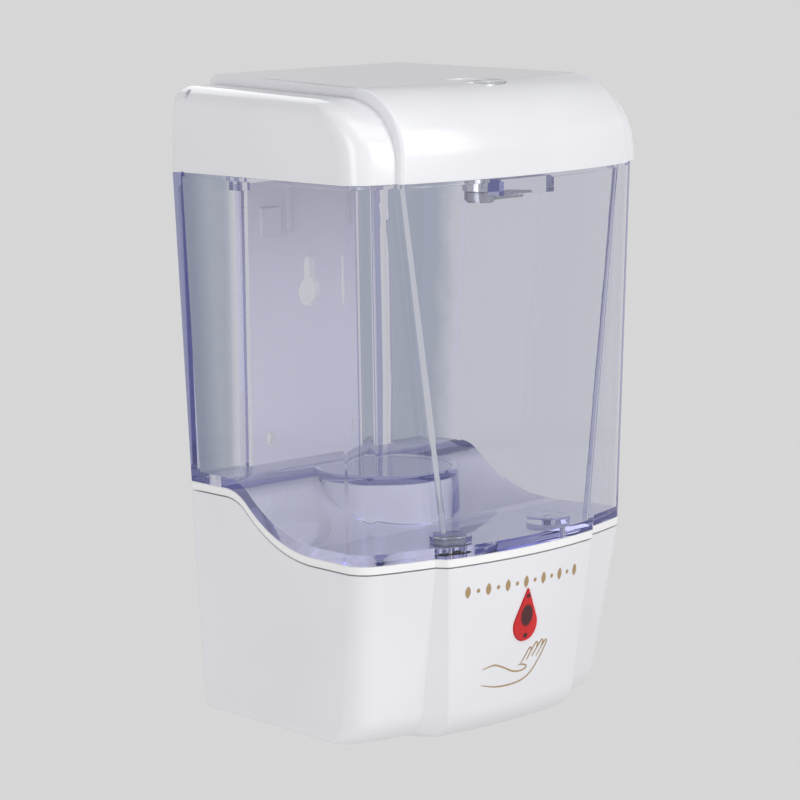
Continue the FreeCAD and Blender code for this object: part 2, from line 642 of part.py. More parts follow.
def window_prism(grow):
    """Drop-shaped prism through the front wall."""
    half = WINDOW_HALF + grow
    tip_height = WINDOW_HEIGHT + WINDOW_TIP + grow * 2
    lean = math.acos(half / (tip_height - WINDOW_HEIGHT))
    y = -FAR
    tip = Vector(0, y, tip_height)
    right = Vector(half * math.sin(lean), y, WINDOW_HEIGHT + half * math.cos(lean))
    left = Vector(-right.x, y, right.z)
    bottom = Vector(0, y, WINDOW_HEIGHT - half)
    wire = Part.Wire([
        Part.LineSegment(tip, right).toShape(),
        Part.Arc(right, bottom, left).toShape(),
        Part.LineSegment(left, tip).toShape(),
    ])
    return Part.Face(wire).extrude(Vector(0, FAR - 60, 0))


def make_window():
    """Red drop-shaped window, a little proud of the front."""
    skin = form(5, SEAM_FRONT, -WINDOW_PROUD, 0).cut(form(5, SEAM_FRONT, BASE_WALL + 0.6, 0))
    return window_prism(0).common(skin)


def make_wall_plate():
    """White plate screwed to the wall: keyhole, lower screw holes, hooks and ribs."""
    plate = box(-PLATE_HALF, PLATE_HALF, -PLATE_THICKNESS, 0, PLATE_FOOT, PLATE_HEAD)
    neck = rod_y(KEYHOLE_NECK_R, 0, -9, 9, HANG_HEIGHT)
    bulb = rod_y(KEYHOLE_BULB_R, 0, -9, 9, HANG_HEIGHT - KEYHOLE_DROP)
    throat = box(-KEYHOLE_NECK_R, KEYHOLE_NECK_R, -9, 9, HANG_HEIGHT - KEYHOLE_DROP, HANG_HEIGHT)
    plate = plate.cut(neck.fuse(bulb).fuse(throat))
    for side in (-1, 1):
        plate = plate.cut(rod_y(LOWER_SCREW_R, side * LOWER_SCREW_SPACING / 2, -9, 9, LOWER_SCREW_HEIGHT))
        x = side * HOOK_HALF
        stem = box(x - HOOK_WIDTH / 2, x + HOOK_WIDTH / 2, -RECESS_DEPTH - BASE_WALL - 1.8, -PLATE_THICKNESS,
                   HOOK_HEIGHT - 1.5, HOOK_HEIGHT + 1.5)
        tongue = box(x - HOOK_WIDTH / 2, x + HOOK_WIDTH / 2, -RECESS_DEPTH - BASE_WALL - 1.8,
                     -RECESS_DEPTH - BASE_WALL - 0.4, HOOK_HEIGHT - 1.5, HOOK_HEIGHT + 3.5)
        plate = plate.fuse(stem).fuse(tongue)
    for x in RIB_PLACES:
        plate = plate.fuse(box(x - 0.7, x + 0.7, -RECESS_DEPTH + 0.4, -PLATE_THICKNESS,
                               PLATE_HEAD - RIB_HEIGHT, PLATE_HEAD - 0.5))
    ledge = Part.makeBox(8.0, 1.2, 9.0, Vector(-21.0, -PLATE_THICKNESS - 1.2, PLATE_HEAD - 17.0))
    return plate.fuse(ledge).removeSplitter()


# ================================================================ cells and door
def make_bay():
    """Cell holder above the door opening, open below."""
    outer = box(-BAY_HALF - BAY_WALL, BAY_HALF + BAY_WALL, BAY_FRONT, BAY_BACK,
                BASE_WALL + 0.02, BAY_TOP + BAY_WALL)
    room = box(-BAY_HALF, BAY_HALF, BAY_FRONT + BAY_WALL, BAY_BACK - BAY_WALL, 0, BAY_TOP)
    bay = outer.cut(room)
    for step in range(1, CELL_COUNT):
        y = BAY_BACK - BAY_WALL - step * CELL_PITCH
        bay = bay.fuse(box(-BAY_HALF, BAY_HALF, y - 0.1, y + 0.1, BAY_TOP - 3.0, BAY_TOP))
    for knuckle in DOOR_KNUCKLES:
        for x in (knuckle - DOOR_GAP - DOOR_LUG, knuckle + DOOR_KNUCKLE + DOOR_GAP):
            lug = rod_x(DOOR_KNUCKLE_R, x, x + DOOR_LUG, DOOR_HINGE_Y, DOOR_HINGE_HEIGHT)
            arm = box(x, x + DOOR_LUG, DOOR_HINGE_Y, BAY_BACK - 0.2, 0.6, DOOR_HINGE_HEIGHT + DOOR_KNUCKLE_R)
            bay = bay.fuse(lug).fuse(arm)
    return bay.cut(rod_x(DOOR_PIN_R, -FAR, FAR, DOOR_HINGE_Y, DOOR_HINGE_HEIGHT)).removeSplitter()


def cell_place(index):
    """Depth of a cell's axis, and the side that its nipple points to."""
    y = BAY_BACK - BAY_WALL - (index + 0.5) * CELL_PITCH
    return y, (1 if index % 2 == 0 else -1)


def make_cell(index):
    """One AA cell lying along X."""
    y, side = cell_place(index)
    nipple_end = side * (BAY_HALF - CONTACT)
    body_end = nipple_end - side * CELL_NIPPLE
    far_end = body_end - side * CELL_LENGTH
    body = rod_x(CELL_R, min(body_end, far_end), max(body_end, far_end), y, CELL_HEIGHT)
    nipple = rod_x(CELL_NIPPLE_R, min(nipple_end, body_end), max(nipple_end, body_end), y, CELL_HEIGHT)
    return body.fuse(nipple)


def make_cell_springs():
    """Coiled negative contacts, as rings joined by short stems."""
    springs = []
    for index in range(CELL_COUNT):
        y, side = cell_place(index)
        seat = -side * (BAY_HALF - CONTACT)
        shapes = []
        turns = 4
        pitch = (SPRING_ROOM - 2 * SPRING_WIRE_R) / (turns - 1)
        for turn in range(turns):
            x = seat + side * (SPRING_WIRE_R + turn * pitch)
            radius = 4.4 - 0.5 * turn
            shapes.append(Part.makeTorus(radius, SPRING_WIRE_R, Vector(x, y, CELL_HEIGHT), Vector(1, 0, 0)))
            if turn:
                height = CELL_HEIGHT + (radius + 0.2) * (1 if turn % 2 else -1)
                shapes.append(rod_x(SPRING_WIRE_R * 0.9, min(x, x - side * pitch), max(x, x - side * pitch),
                                    y, height))
        springs.append(shapes[0].multiFuse(shapes[1:]))
    return Part.makeCompound(springs)


def make_contacts():
    """Flat plated contacts at both ends of the bay."""
    plates = []
    for index in range(CELL_COUNT):
        y, side = cell_place(index)
        for end in (-1, 1):
            outer = end * BAY_HALF
            inner = end * (BAY_HALF - CONTACT)
            plates.append(box(min(outer, inner), max(outer, inner), y - 5.0, y + 5.0,
                              CELL_HEIGHT - 5.0, CELL_HEIGHT + 5.0))
    return Part.makeCompound(plates)


def make_door():
    """Door under the cells, with knuckles at the wall side and a snap tongue at the front."""
    half = BAY_HALF + BAY_WALL - DOOR_GAP
    edge = DOOR_HINGE_Y - DOOR_KNUCKLE_R - DOOR_GAP
    panel = box(-half, half, BAY_FRONT + DOOR_GAP, edge, 0.1, DOOR_THICKNESS)
    for x in DOOR_KNUCKLES:
        knuckle = rod_x(DOOR_KNUCKLE_R, x, x + DOOR_KNUCKLE, DOOR_HINGE_Y, DOOR_HINGE_HEIGHT)
        arm = box(x, x + DOOR_KNUCKLE, edge - 0.5, DOOR_HINGE_Y, 0.3, DOOR_THICKNESS)
        panel = panel.fuse(knuckle).fuse(arm)
    panel = panel.cut(rod_x(DOOR_PIN_R + RUN_GAP, -FAR, FAR, DOOR_HINGE_Y, DOOR_HINGE_HEIGHT))
    for step in range(5):
        y = BAY_FRONT + 6 + step * 1.8
        panel = panel.cut(box(-9, 9, y, y + 0.8, 0, 0.6))
    return panel.removeSplitter()


def make_door_pin():
    """Steel pin of the door, held in the bay's lugs."""
    reach = DOOR_GAP + DOOR_LUG
    return rod_x(DOOR_PIN_R, DOOR_KNUCKLES[0] - reach, DOOR_KNUCKLES[1] + DOOR_KNUCKLE + reach,
                 DOOR_HINGE_Y, DOOR_HINGE_HEIGHT)


# ================================================================ pump and gears
PUMP_TOP = PUMP_FOOT + PUMP_PLATE + TUBE_BAND_HEIGHT + 2 * ROTOR_PLATE + 2.6
GEARBOX_TOP = PUMP_TOP + PINION_THICKNESS + GEAR_LEVEL_GAP + PINION_THICKNESS + 2.4
GEAR_DISTANCE = GEAR_MODULE * (PINION_TEETH + WHEEL_TEETH) / 2
GEAR_FOOT = PUMP_TOP + 0.8
UPPER_GEAR_FOOT = GEAR_FOOT + PINION_THICKNESS + GEAR_LEVEL_GAP
IDLER_Y = PUMP_Y - GEAR_DISTANCE
PUMP_OUTER_R = TUBE_RACE_R + PUMP_WALL + 0.3
RACE_FOOT = PUMP_FOOT + PUMP_PLATE + ROTOR_PLATE + 0.7
PORT_X = TUBE_RACE_R - TUBE_BAND / 2
LEG_END = PUMP_Y - 23.0


def gear(teeth, x, y, foot, thickness, bore, phase):
    """Spur gear with involute flanks; phase turns it, in teeth."""
    pitch_r = GEAR_MODULE * teeth / 2
    base_r = pitch_r * math.cos(math.radians(PRESSURE_ANGLE))
    tip_r = pitch_r + 0.8 * GEAR_MODULE
    root_r = pitch_r - 1.1 * GEAR_MODULE
    inv = math.tan(math.radians(PRESSURE_ANGLE)) - math.radians(PRESSURE_ANGLE)
    half_pitch = (math.pi * GEAR_MODULE / 2 - GEAR_BACKLASH) / (2 * pitch_r)

    def flank(radius):
        """Half the angle of the tooth at a radius."""
        if radius <= base_r:
            return half_pitch + inv
        angle = math.acos(base_r / radius)
        return half_pitch + inv - (math.tan(angle) - angle)

    def at(radius, angle):
        return Vector(x + radius * math.cos(angle), y + radius * math.sin(angle), foot)

    low_r = max(root_r, base_r)
    middle_r = (low_r + tip_r) / 2
    step = 2 * math.pi / teeth
    edges = []
    for index in range(teeth):
        mid = (index + phase) * step
        edges.append(Part.LineSegment(at(root_r, mid - flank(low_r)), at(low_r, mid - flank(low_r))).toShape()
                     if low_r > root_r else None)
        edges.append(Part.Arc(at(low_r, mid - flank(low_r)), at(middle_r, mid - flank(middle_r)),
                              at(tip_r, mid - flank(tip_r))).toShape())
        edges.append(Part.Arc(at(tip_r, mid - flank(tip_r)), at(tip_r, mid),
                              at(tip_r, mid + flank(tip_r))).toShape())
        edges.append(Part.Arc(at(tip_r, mid + flank(tip_r)), at(middle_r, mid + flank(middle_r)),
                              at(low_r, mid + flank(low_r))).toShape())
        edges.append(Part.LineSegment(at(low_r, mid + flank(low_r)), at(root_r, mid + flank(low_r))).toShape()
                     if low_r > root_r else None)
        edges.append(Part.Arc(at(root_r, mid + flank(low_r)), at(root_r, mid + step / 2),
                              at(root_r, mid + step - flank(low_r))).toShape())
    solid = Part.Face(Part.Wire([e for e in edges if e])).extrude(Vector(0, 0, thickness))
    return solid.cut(rod(bore, x, y, foot - 1, foot + thickness + 1))


def make_output_gear():
    """Output wheel on the rotor's shaft."""
    return gear(WHEEL_TEETH, 0, PUMP_Y, GEAR_FOOT, WHEEL_THICKNESS, 2.0, WHEEL_TEETH * 0.75)


def make_idler():
    """Idler: small pinion below, large wheel above, one moulding."""
    bore_r = SHAFT_R + RUN_GAP
    low = gear(PINION_TEETH, 0, IDLER_Y, GEAR_FOOT - 0.3, PINION_THICKNESS, bore_r,
               PINION_TEETH * 0.25 + 0.5)
    high = gear(WHEEL_TEETH, 0, IDLER_Y, UPPER_GEAR_FOOT, WHEEL_THICKNESS, bore_r, WHEEL_TEETH * 0.25)
    neck = pipe(2.6, SHAFT_R + RUN_GAP, 0, IDLER_Y, GEAR_FOOT + PINION_THICKNESS - 0.3, UPPER_GEAR_FOOT)
    return low.fuse(neck).fuse(high).removeSplitter()


def make_motor_pinion():
    """Brass pinion pressed on the motor's shaft."""
    return gear(PINION_TEETH, 0, PUMP_Y, UPPER_GEAR_FOOT - 0.3, PINION_THICKNESS, SHAFT_R,
                PINION_TEETH * 0.75 + 0.5)


def make_motor_shaft():
    """Motor shaft below the can."""
    return rod(SHAFT_R, 0, PUMP_Y, UPPER_GEAR_FOOT - 0.3, GEARBOX_TOP + 1.0)


def make_motor_can():
    """Flat-sided steel motor can with its nose bearing."""
    can = rod(MOTOR_R, 0, PUMP_Y, GEARBOX_TOP, GEARBOX_TOP + MOTOR_LENGTH)
    flats = box(-MOTOR_FLAT, MOTOR_FLAT, PUMP_Y - 20, PUMP_Y + 20, 0, FAR)
    can = can.common(flats)
    return can.cut(rod(SHAFT_R + RUN_GAP, 0, PUMP_Y, GEARBOX_TOP - 1, GEARBOX_TOP + 3))


def make_motor_cap():
    """Plastic end cap of the motor with two terminals."""
    foot = GEARBOX_TOP + MOTOR_LENGTH
    cap = rod(MOTOR_R - MOTOR_CAP_STEP, 0, PUMP_Y, foot, foot + MOTOR_CAP)
    half = MOTOR_FLAT - MOTOR_CAP_STEP
    return cap.common(box(-half, half, PUMP_Y - 20, PUMP_Y + 20, 0, FAR))


def make_idler_pin():
    """Steel pin of the idler."""
    return rod(SHAFT_R, 0, IDLER_Y, PUMP_TOP - 0.8, GEARBOX_TOP - 0.4)


def gearbox_room(grow, foot, top):
    """Figure-of-eight room around the gears."""
    tip = GEAR_MODULE * WHEEL_TEETH / 2 + 0.8 * GEAR_MODULE + 0.8 + grow
    a = rod(tip, 0, PUMP_Y, foot, top)
    b = rod(tip, 0, IDLER_Y, foot, top)
    return a.fuse(b).fuse(box(-tip, tip, IDLER_Y, PUMP_Y, foot, top))


def make_gearbox():
    """Gearbox housing, open below, that the motor stands on."""
    housing = gearbox_room(GEARBOX_WALL, PUMP_TOP + 0.02, GEARBOX_TOP - 0.02)
    housing = housing.cut(gearbox_room(0, PUMP_TOP - 1, GEARBOX_TOP - GEARBOX_WALL))
    housing = housing.cut(rod(SHAFT_R + 0.6, 0, PUMP_Y, 0, FAR))
    return housing.cut(rod(SHAFT_R, 0, IDLER_Y, 0, GEARBOX_TOP - 0.4)).removeSplitter()


def u_band(radius_out, radius_in, foot, top, leg_end):
    """U-shaped band around the rotor, its legs running to the front."""
    def plan(radius):
        return rod(radius, 0, PUMP_Y, foot, top).fuse(box(-radius, radius, leg_end, PUMP_Y, foot, top))
    return plan(radius_out).cut(plan(radius_in))


def make_pump_housing():
    """Pump housing with the round race, open below."""
    foot = PUMP_FOOT + PUMP_PLATE
    outer = rod(PUMP_OUTER_R, 0, PUMP_Y, foot, PUMP_TOP)
    outer = outer.fuse(box(-PUMP_OUTER_R, PUMP_OUTER_R, LEG_END + 4, PUMP_Y, foot, PUMP_TOP))
    race = rod(TUBE_RACE_R + 0.1, 0, PUMP_Y, foot - 1, PUMP_TOP - PUMP_PLATE)
    race = race.fuse(box(-TUBE_RACE_R - 0.1, TUBE_RACE_R + 0.1, LEG_END - 5, PUMP_Y,
                         foot - 1, PUMP_TOP - PUMP_PLATE))
    housing = outer.cut(race)
    housing = housing.cut(rod(2.0 + RUN_GAP, 0, PUMP_Y, 0, FAR)).cut(make_screws())
    return housing.cut(rod(SHAFT_R, 0, IDLER_Y, PUMP_TOP - 0.8, FAR)).removeSplitter()


def make_pump_cover():
    """Plate that closes the pump below."""
    plate = rod(PUMP_OUTER_R, 0, PUMP_Y, PUMP_FOOT, PUMP_FOOT + PUMP_PLATE)
    plate = plate.fuse(box(-PUMP_OUTER_R, PUMP_OUTER_R, LEG_END + 4, PUMP_Y,
                           PUMP_FOOT, PUMP_FOOT + PUMP_PLATE))
    return plate.cut(rod(2.0 + RUN_GAP, 0, PUMP_Y, 0, FAR)).cut(make_screws()).removeSplitter()


def make_pump_tube():
    """Silicone tube round the race, drawn as flat as the rollers press it."""
    return u_band(TUBE_RACE_R, TUBE_RACE_R - TUBE_BAND, RACE_FOOT, RACE_FOOT + TUBE_BAND_HEIGHT, LEG_END)


ROLLER_ORBIT = TUBE_RACE_R - TUBE_BAND - 0.3 - ROLLER_R


def roller_centre(index):
    """Plan position of a roller's axis."""
    angle = math.radians(90 + 360 * index / ROLLER_COUNT)
    return ROLLER_ORBIT * math.cos(angle), PUMP_Y + ROLLER_ORBIT * math.sin(angle)


def make_rotor():
    """Rotor: two discs on a shaft that carries the output wheel."""
    foot = PUMP_FOOT + PUMP_PLATE + 0.4
    upper = RACE_FOOT + TUBE_BAND_HEIGHT + 0.3
    rotor = rod(ROTOR_PLATE_R, 0, PUMP_Y, foot, foot + ROTOR_PLATE)
    rotor = rotor.fuse(rod(ROTOR_PLATE_R, 0, PUMP_Y, upper, upper + ROTOR_PLATE))
    rotor = rotor.fuse(rod(3.2, 0, PUMP_Y, foot, upper + ROTOR_PLATE))
    rotor = rotor.fuse(rod(2.0, 0, PUMP_Y, PUMP_FOOT, GEAR_FOOT + WHEEL_THICKNESS))
    for index in range(ROLLER_COUNT):
        x, y = roller_centre(index)
        rotor = rotor.cut(rod(ROLLER_PIN_R, x, y, 0, FAR))
    return rotor.removeSplitter()


def make_roller(index):
    """Pump roller."""
    x, y = roller_centre(index)
    return pipe(ROLLER_R, ROLLER_PIN_R + RUN_GAP, x, y, RACE_FOOT, RACE_FOOT + TUBE_BAND_HEIGHT)


def make_roller_pins():
    """Steel pins of the rollers."""
    foot = PUMP_FOOT + PUMP_PLATE + 0.4
    top = RACE_FOOT + TUBE_BAND_HEIGHT + 0.3 + ROTOR_PLATE
    return Part.makeCompound([rod(ROLLER_PIN_R, *roller_centre(i), foot, top) for i in range(ROLLER_COUNT)])


# ================================================================ hoses, nozzle, electronics
HOSE_HEIGHT = RACE_FOOT + TUBE_BAND_HEIGHT / 2


def make_connectors():
    """Barbed connectors between the pressed tube and the round hoses."""
    parts = []
    for side in (-1, 1):
        x = side * PORT_X
        block = box(x - 2.6, x + 2.6, LEG_END - 4.0, LEG_END, HOSE_HEIGHT - 2.8, HOSE_HEIGHT + 2.8)
        barb = rod_y(HOSE_BORE_R, x, LEG_END - 5.5, LEG_END - 4.0, HOSE_HEIGHT)
        parts.append(block.fuse(barb))
    return Part.makeCompound(parts)


def make_inlet_hose():
    """Hose from the tank's spigot to the pump."""
    top = SEAM_FRONT + FLOOR_TOP - SPIGOT_LENGTH
    points = [(-POST_X, POST_Y, top), (-POST_X, POST_Y, HOSE_HEIGHT + 9.0),
              (-POST_X + 1.5, POST_Y + 6.0, HOSE_HEIGHT + 1.0), (-PORT_X, LEG_END - 10.0, HOSE_HEIGHT),
              (-PORT_X, LEG_END - 4.0, HOSE_HEIGHT)]
    return route_tube(points, HOSE_R, HOSE_BORE_R)


def make_outlet_hose():
    """Hose from the pump to the nozzle."""
    points = [(PORT_X, LEG_END - 4.0, HOSE_HEIGHT), (PORT_X, LEG_END - 10.0, HOSE_HEIGHT),
              (PORT_X - 6.0, NOZZLE_Y + 1.0, HOSE_HEIGHT - 0.5),
              (NOZZLE_X + 4.0, NOZZLE_Y, HOSE_HEIGHT - 2.0),
              (NOZZLE_X, NOZZLE_Y, HOSE_HEIGHT - 8.0), (NOZZLE_X, NOZZLE_Y, 14.0)]
    return route_tube(points, HOSE_R, HOSE_BORE_R)


def make_nozzle():
    """Nozzle body that seats in the base's floor."""
    body = rod(NOZZLE_R, NOZZLE_X, NOZZLE_Y, 1.2, 14.0)
    body = body.fuse(rod(NOZZLE_R + 1.5, NOZZLE_X, NOZZLE_Y, BASE_WALL + 0.02, BASE_WALL + 2.0))
    body = body.cut(rod(3.0, NOZZLE_X, NOZZLE_Y, 0, 9.0))
    return body.cut(rod(HOSE_BORE_R, NOZZLE_X, NOZZLE_Y, 0, 20))


def make_valve():
    """Rubber duckbill in the nozzle's mouth."""
    ring = rod(2.9, NOZZLE_X, NOZZLE_Y, 6.0, 9.0)
    beak = Part.makeLoft([
        Part.makePolygon([Vector(NOZZLE_X + sx * 2.0, NOZZLE_Y + sy * 2.0, 6.0)
                          for sx, sy in ((-1, -1), (1, -1), (1, 1), (-1, 1), (-1, -1))]),
        Part.makePolygon([Vector(NOZZLE_X + sx * 2.0, NOZZLE_Y + sy * 0.5, 2.0)
                          for sx, sy in ((-1, -1), (1, -1), (1, 1), (-1, 1), (-1, -1))]),
    ], True, True)
    return ring.fuse(beak).cut(rod(1.2, NOZZLE_X, NOZZLE_Y, 4.0, 10))


def make_sensor_lens():
    """Dark round lens in the base's floor."""
    lens = rod(LENS_R, LENS_X, NOZZLE_Y, 0.2, BASE_WALL + 1.2)
    return lens.fuse(rod(LENS_R + 1.2, LENS_X, NOZZLE_Y, BASE_WALL + 0.02, BASE_WALL + 1.2))


def make_sensor():
    """Infrared emitter and receiver above the lens."""
    foot = BASE_WALL + 1.4
    holder = box(LENS_X - 5, LENS_X + 5, NOZZLE_Y - 3.5, NOZZLE_Y + 3.5, foot + 1, foot + 5)
    eyes = [rod(1.5, LENS_X + s * 2.2, NOZZLE_Y, foot, foot + 2) for s in (-1, 1)]
    return holder.fuse(eyes[0]).fuse(eyes[1])


def make_switch_body():
    """Slide switch housing."""
    foot = BASE_WALL + 0.05
    body = box(SWITCH_X - 6.5, SWITCH_X + 6.5, NOZZLE_Y - 3.2, NOZZLE_Y + 3.2, foot, foot + 5.0)
    slot_half = 2.0 + SWITCH_TRAVEL / 2 + 0.6
    return body.cut(box(SWITCH_X - slot_half, SWITCH_X + slot_half, NOZZLE_Y - 1.9, NOZZLE_Y + 1.9,
                        foot - 1, foot + 3.5))


def make_switch_slider():
    """Slider of the power switch, at its off end."""
    x = SWITCH_X - SWITCH_TRAVEL / 2
    return box(x - 2.0, x + 2.0, NOZZLE_Y - 1.5, NOZZLE_Y + 1.5, 0.3, BASE_WALL + 3.2)


def make_board():
    """Circuit board standing behind the window."""
    board = box(-BOARD_WIDTH / 2, BOARD_WIDTH / 2, -BOARD_DEPTH, BOARD_THICKNESS - BOARD_DEPTH,
                BOARD_FOOT, BOARD_FOOT + BOARD_HEIGHT)
    for side in (-1, 1):
        board = board.cut(rod_y(1.3, side * (BOARD_WIDTH / 2 - 3), -BOARD_DEPTH - 5, -BOARD_DEPTH + 9,
                                BOARD_FOOT + BOARD_HEIGHT - 3))
    return board


def make_board_screws():
    """Screws of the board."""
    screws = []
    for side in (-1, 1):
        x = side * (BOARD_WIDTH / 2 - 3)
        z = BOARD_FOOT + BOARD_HEIGHT - 3
        face = BOARD_THICKNESS - BOARD_DEPTH
        head = rod_y(2.2, x, face + 0.02, face + 1.6, z)
        shank = rod_y(1.2, x, -BOARD_DEPTH - 3.0, face + 0.1, z)
        screws.append(head.fuse(shank))
    return Part.makeCompound(screws)


def make_chips():
    """Controller, driver, capacitor and coil on the board's rear face."""
    face = BOARD_THICKNESS - BOARD_DEPTH + 0.02
    parts = [
        box(-5, 4, face, face + 1.6, BOARD_FOOT + 13, BOARD_FOOT + 19),
        box(-13, -9, face, face + 1.2, BOARD_FOOT + 12, BOARD_FOOT + 17),
        rod_y(2.5, -9, face, face + 5.0, BOARD_FOOT + 24),
        rod_y(2.0, 0, face, face + 3.0, BOARD_FOOT + 25),
        box(5, 7, face, face + 0.8, BOARD_FOOT + 24, BOARD_FOOT + 25.6),
    ]
    return Part.makeCompound(parts)


def make_sockets():
    """Wire sockets on the board's rear face."""
    face = BOARD_THICKNESS - BOARD_DEPTH + 0.02
    return Part.makeCompound([box(x - 3, x + 3, face, face + 4.2, BOARD_FOOT + 3, BOARD_FOOT + 7.5)
                              for x in (-SOCKET_X, SOCKET_X)])


def make_led():
    """Indicator light behind the window."""
    face = -BOARD_DEPTH - 0.02
    lamp = rod_y(1.5, 0, face - 3.0, face, WINDOW_HEIGHT)
    tip = Part.makeSphere(1.5, Vector(0, face - 3.0, WINDOW_HEIGHT))
    flange = rod_y(1.9, 0, face - 0.8, face, WINDOW_HEIGHT)
    return lamp.fuse(tip).fuse(flange)


def make_motor_wires():
    """Pair of wires from the motor's cap, down through the dome, to the board."""
    top = GEARBOX_TOP + MOTOR_LENGTH + MOTOR_CAP / 2
    socket_y = BOARD_THICKNESS - BOARD_DEPTH + 2.1
    wires = []
    for x, end in ((3.4, SOCKET_X - 1.0), (5.2, SOCKET_X + 1.0)):
        cap_face = PUMP_Y - math.sqrt((MOTOR_R - MOTOR_CAP_STEP) ** 2 - (x - WIRE_R) ** 2) - 0.02
        wires.append(route_tube([(x, cap_face, top), (x, PUMP_Y - 12.6, top - 0.5),
                                 (x, PUMP_Y - 13.6, top - 8.0),
                                 (x + 0.5, PUMP_Y - 16.0, top - 14.6), (x + 2.0, PUMP_Y - 26.0, top - 16.4),
                                 (x + 4.0, PUMP_Y - 36.0, top - 20.0), (end, socket_y, top - 29.0),
                                 (end, socket_y, BOARD_FOOT + 7.55)], WIRE_R))
    return Part.makeCompound(wires)


def make_cell_wires():
    """Pair of wires from the front of the cell bay to the board."""
    socket_y = BOARD_THICKNESS - BOARD_DEPTH + 2.1
    low = BAY_TOP - 3.0
    wires = []
    for x in (-SOCKET_X - 1.0, -SOCKET_X + 1.0):
        wires.append(route_tube([(x, BAY_FRONT - 0.05, low), (x, BAY_FRONT - 2.4, low + 0.3),
                                 (x, BAY_FRONT - 3.4, low + 6.0), (x, BAY_FRONT - 5.4, low + 11.0),
                                 (x, socket_y + 0.4, low + 12.5), (x, socket_y, BOARD_FOOT + 7.55)], WIRE_R))
    return Part.makeCompound(wires)


def make_sensor_wires():
    """Pair of wires from the sensor up to the board's lower edge."""
    foot = BASE_WALL + 6.4
    rear = BOARD_THICKNESS - BOARD_DEPTH + 0.65
    wires = []
    for x in (LENS_X - 2.0, LENS_X):
        wires.append(route_tube([(x, NOZZLE_Y - 1.0, foot + 0.02), (x, NOZZLE_Y - 1.2, foot + 3.0),
                                 (x - 0.6, rear + 0.2, foot + 6.0), (x - 0.6, rear, foot + 10.0)], WIRE_R))
    return Part.makeCompound(wires)


def make_screws():
    """Screws of the pump's cover."""
    screws = []
    for side in (-1, 1):
        x = side * (PUMP_OUTER_R - 1.1)
        shank = rod(0.7, x, PUMP_Y - 14, PUMP_FOOT - 0.1, PUMP_FOOT + 6)
        screws.append(shank.fuse(rod(1.4, x, PUMP_Y - 14, PUMP_FOOT - 1.2, PUMP_FOOT)))
    return Part.makeCompound(screws)


def make_tank_screw():
    """Screw up through the base's post and the deck into the tank's post."""
    foot = SEAM_FRONT - SCREW_POST_HEIGHT
    head = rod(2.9, POST_X, POST_Y, foot - 1.8, foot - 0.02)
    shank = rod(1.18, POST_X, POST_Y, foot - 0.1, SEAM_FRONT + FLOOR_TOP + 0.5)
    return head.fuse(shank)


def main():
    """Build every sub-part and write it."""
    os.makedirs("parts", exist_ok=True)
    for name, maker in (
        ("wall_plate", make_wall_plate),
        ("base_shell", make_base),
        ("deck_cover", make_deck),
        ("tank", make_tank),
        ("outlet_seal", make_outlet_seal),
        ("outlet_strainer", make_strainer),
        ("lid", make_lid),
        ("lock_barrel", make_lock_barrel),
        ("lock_cam", make_lock_cam),
        ("lock_clip", make_lock_clip),
        ("lid_hinge_pins", make_hinge_pins),
        ("drop_window", make_window),
        ("battery_bay", make_bay),
        ("battery_springs", make_cell_springs),
        ("battery_contacts", make_contacts),
        ("battery_door", make_door),
        ("battery_door_pin", make_door_pin),
        ("output_gear", make_output_gear),
        ("idler_gear", make_idler),
        ("motor_pinion", make_motor_pinion),
        ("motor_shaft", make_motor_shaft),
        ("motor_can", make_motor_can),
        ("motor_cap", make_motor_cap),
        ("idler_pin", make_idler_pin),
        ("gearbox_housing", make_gearbox),
        ("pump_housing", make_pump_housing),
        ("pump_cover", make_pump_cover),
        ("pump_tube", make_pump_tube),
        ("pump_rotor", make_rotor),
        ("roller_pins", make_roller_pins),
        ("hose_connectors", make_connectors),
        ("inlet_hose", make_inlet_hose),
        ("outlet_hose", make_outlet_hose),
        ("nozzle", make_nozzle),
        ("nozzle_valve", make_valve),
        ("sensor_lens", make_sensor_lens),
        ("sensor_module", make_sensor),
        ("switch_body", make_switch_body),
        ("switch_slider", make_switch_slider),
        ("circuit_board", make_board),
        ("board_screws", make_board_screws),
        ("board_chips", make_chips),
        ("board_sockets", make_sockets),
        ("indicator_led", make_led),
        ("motor_wires", make_motor_wires),
        ("battery_wires", make_cell_wires),
        ("sensor_wires", make_sensor_wires),
        ("pump_screws", make_screws),
        ("tank_screw", make_tank_screw),
    ):
        save(name, maker())
    for index in range(CELL_COUNT):
        save("battery_cell_" + str(index + 1), make_cell(index))
    for index in range(ROLLER_COUNT):
        save("pump_roller_" + str(index + 1), make_roller(index))


main()
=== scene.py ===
"""Looks of a touch-free wall soap dispenser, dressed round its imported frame.

The frame gives every part its place.  The casing, tank and plate are rebuilt here as clean
shells with softened edges, the print on the front is laid onto the shell, and each finish is a
procedural material named for what the real part is made of.
"""

import json
import logging
import math
from dataclasses import dataclass, field
from enum import Enum
from typing import Any, Optional, Sequence

import bmesh
import bpy
from mathutils import Matrix, Vector
from mathutils.bvhtree import BVHTree

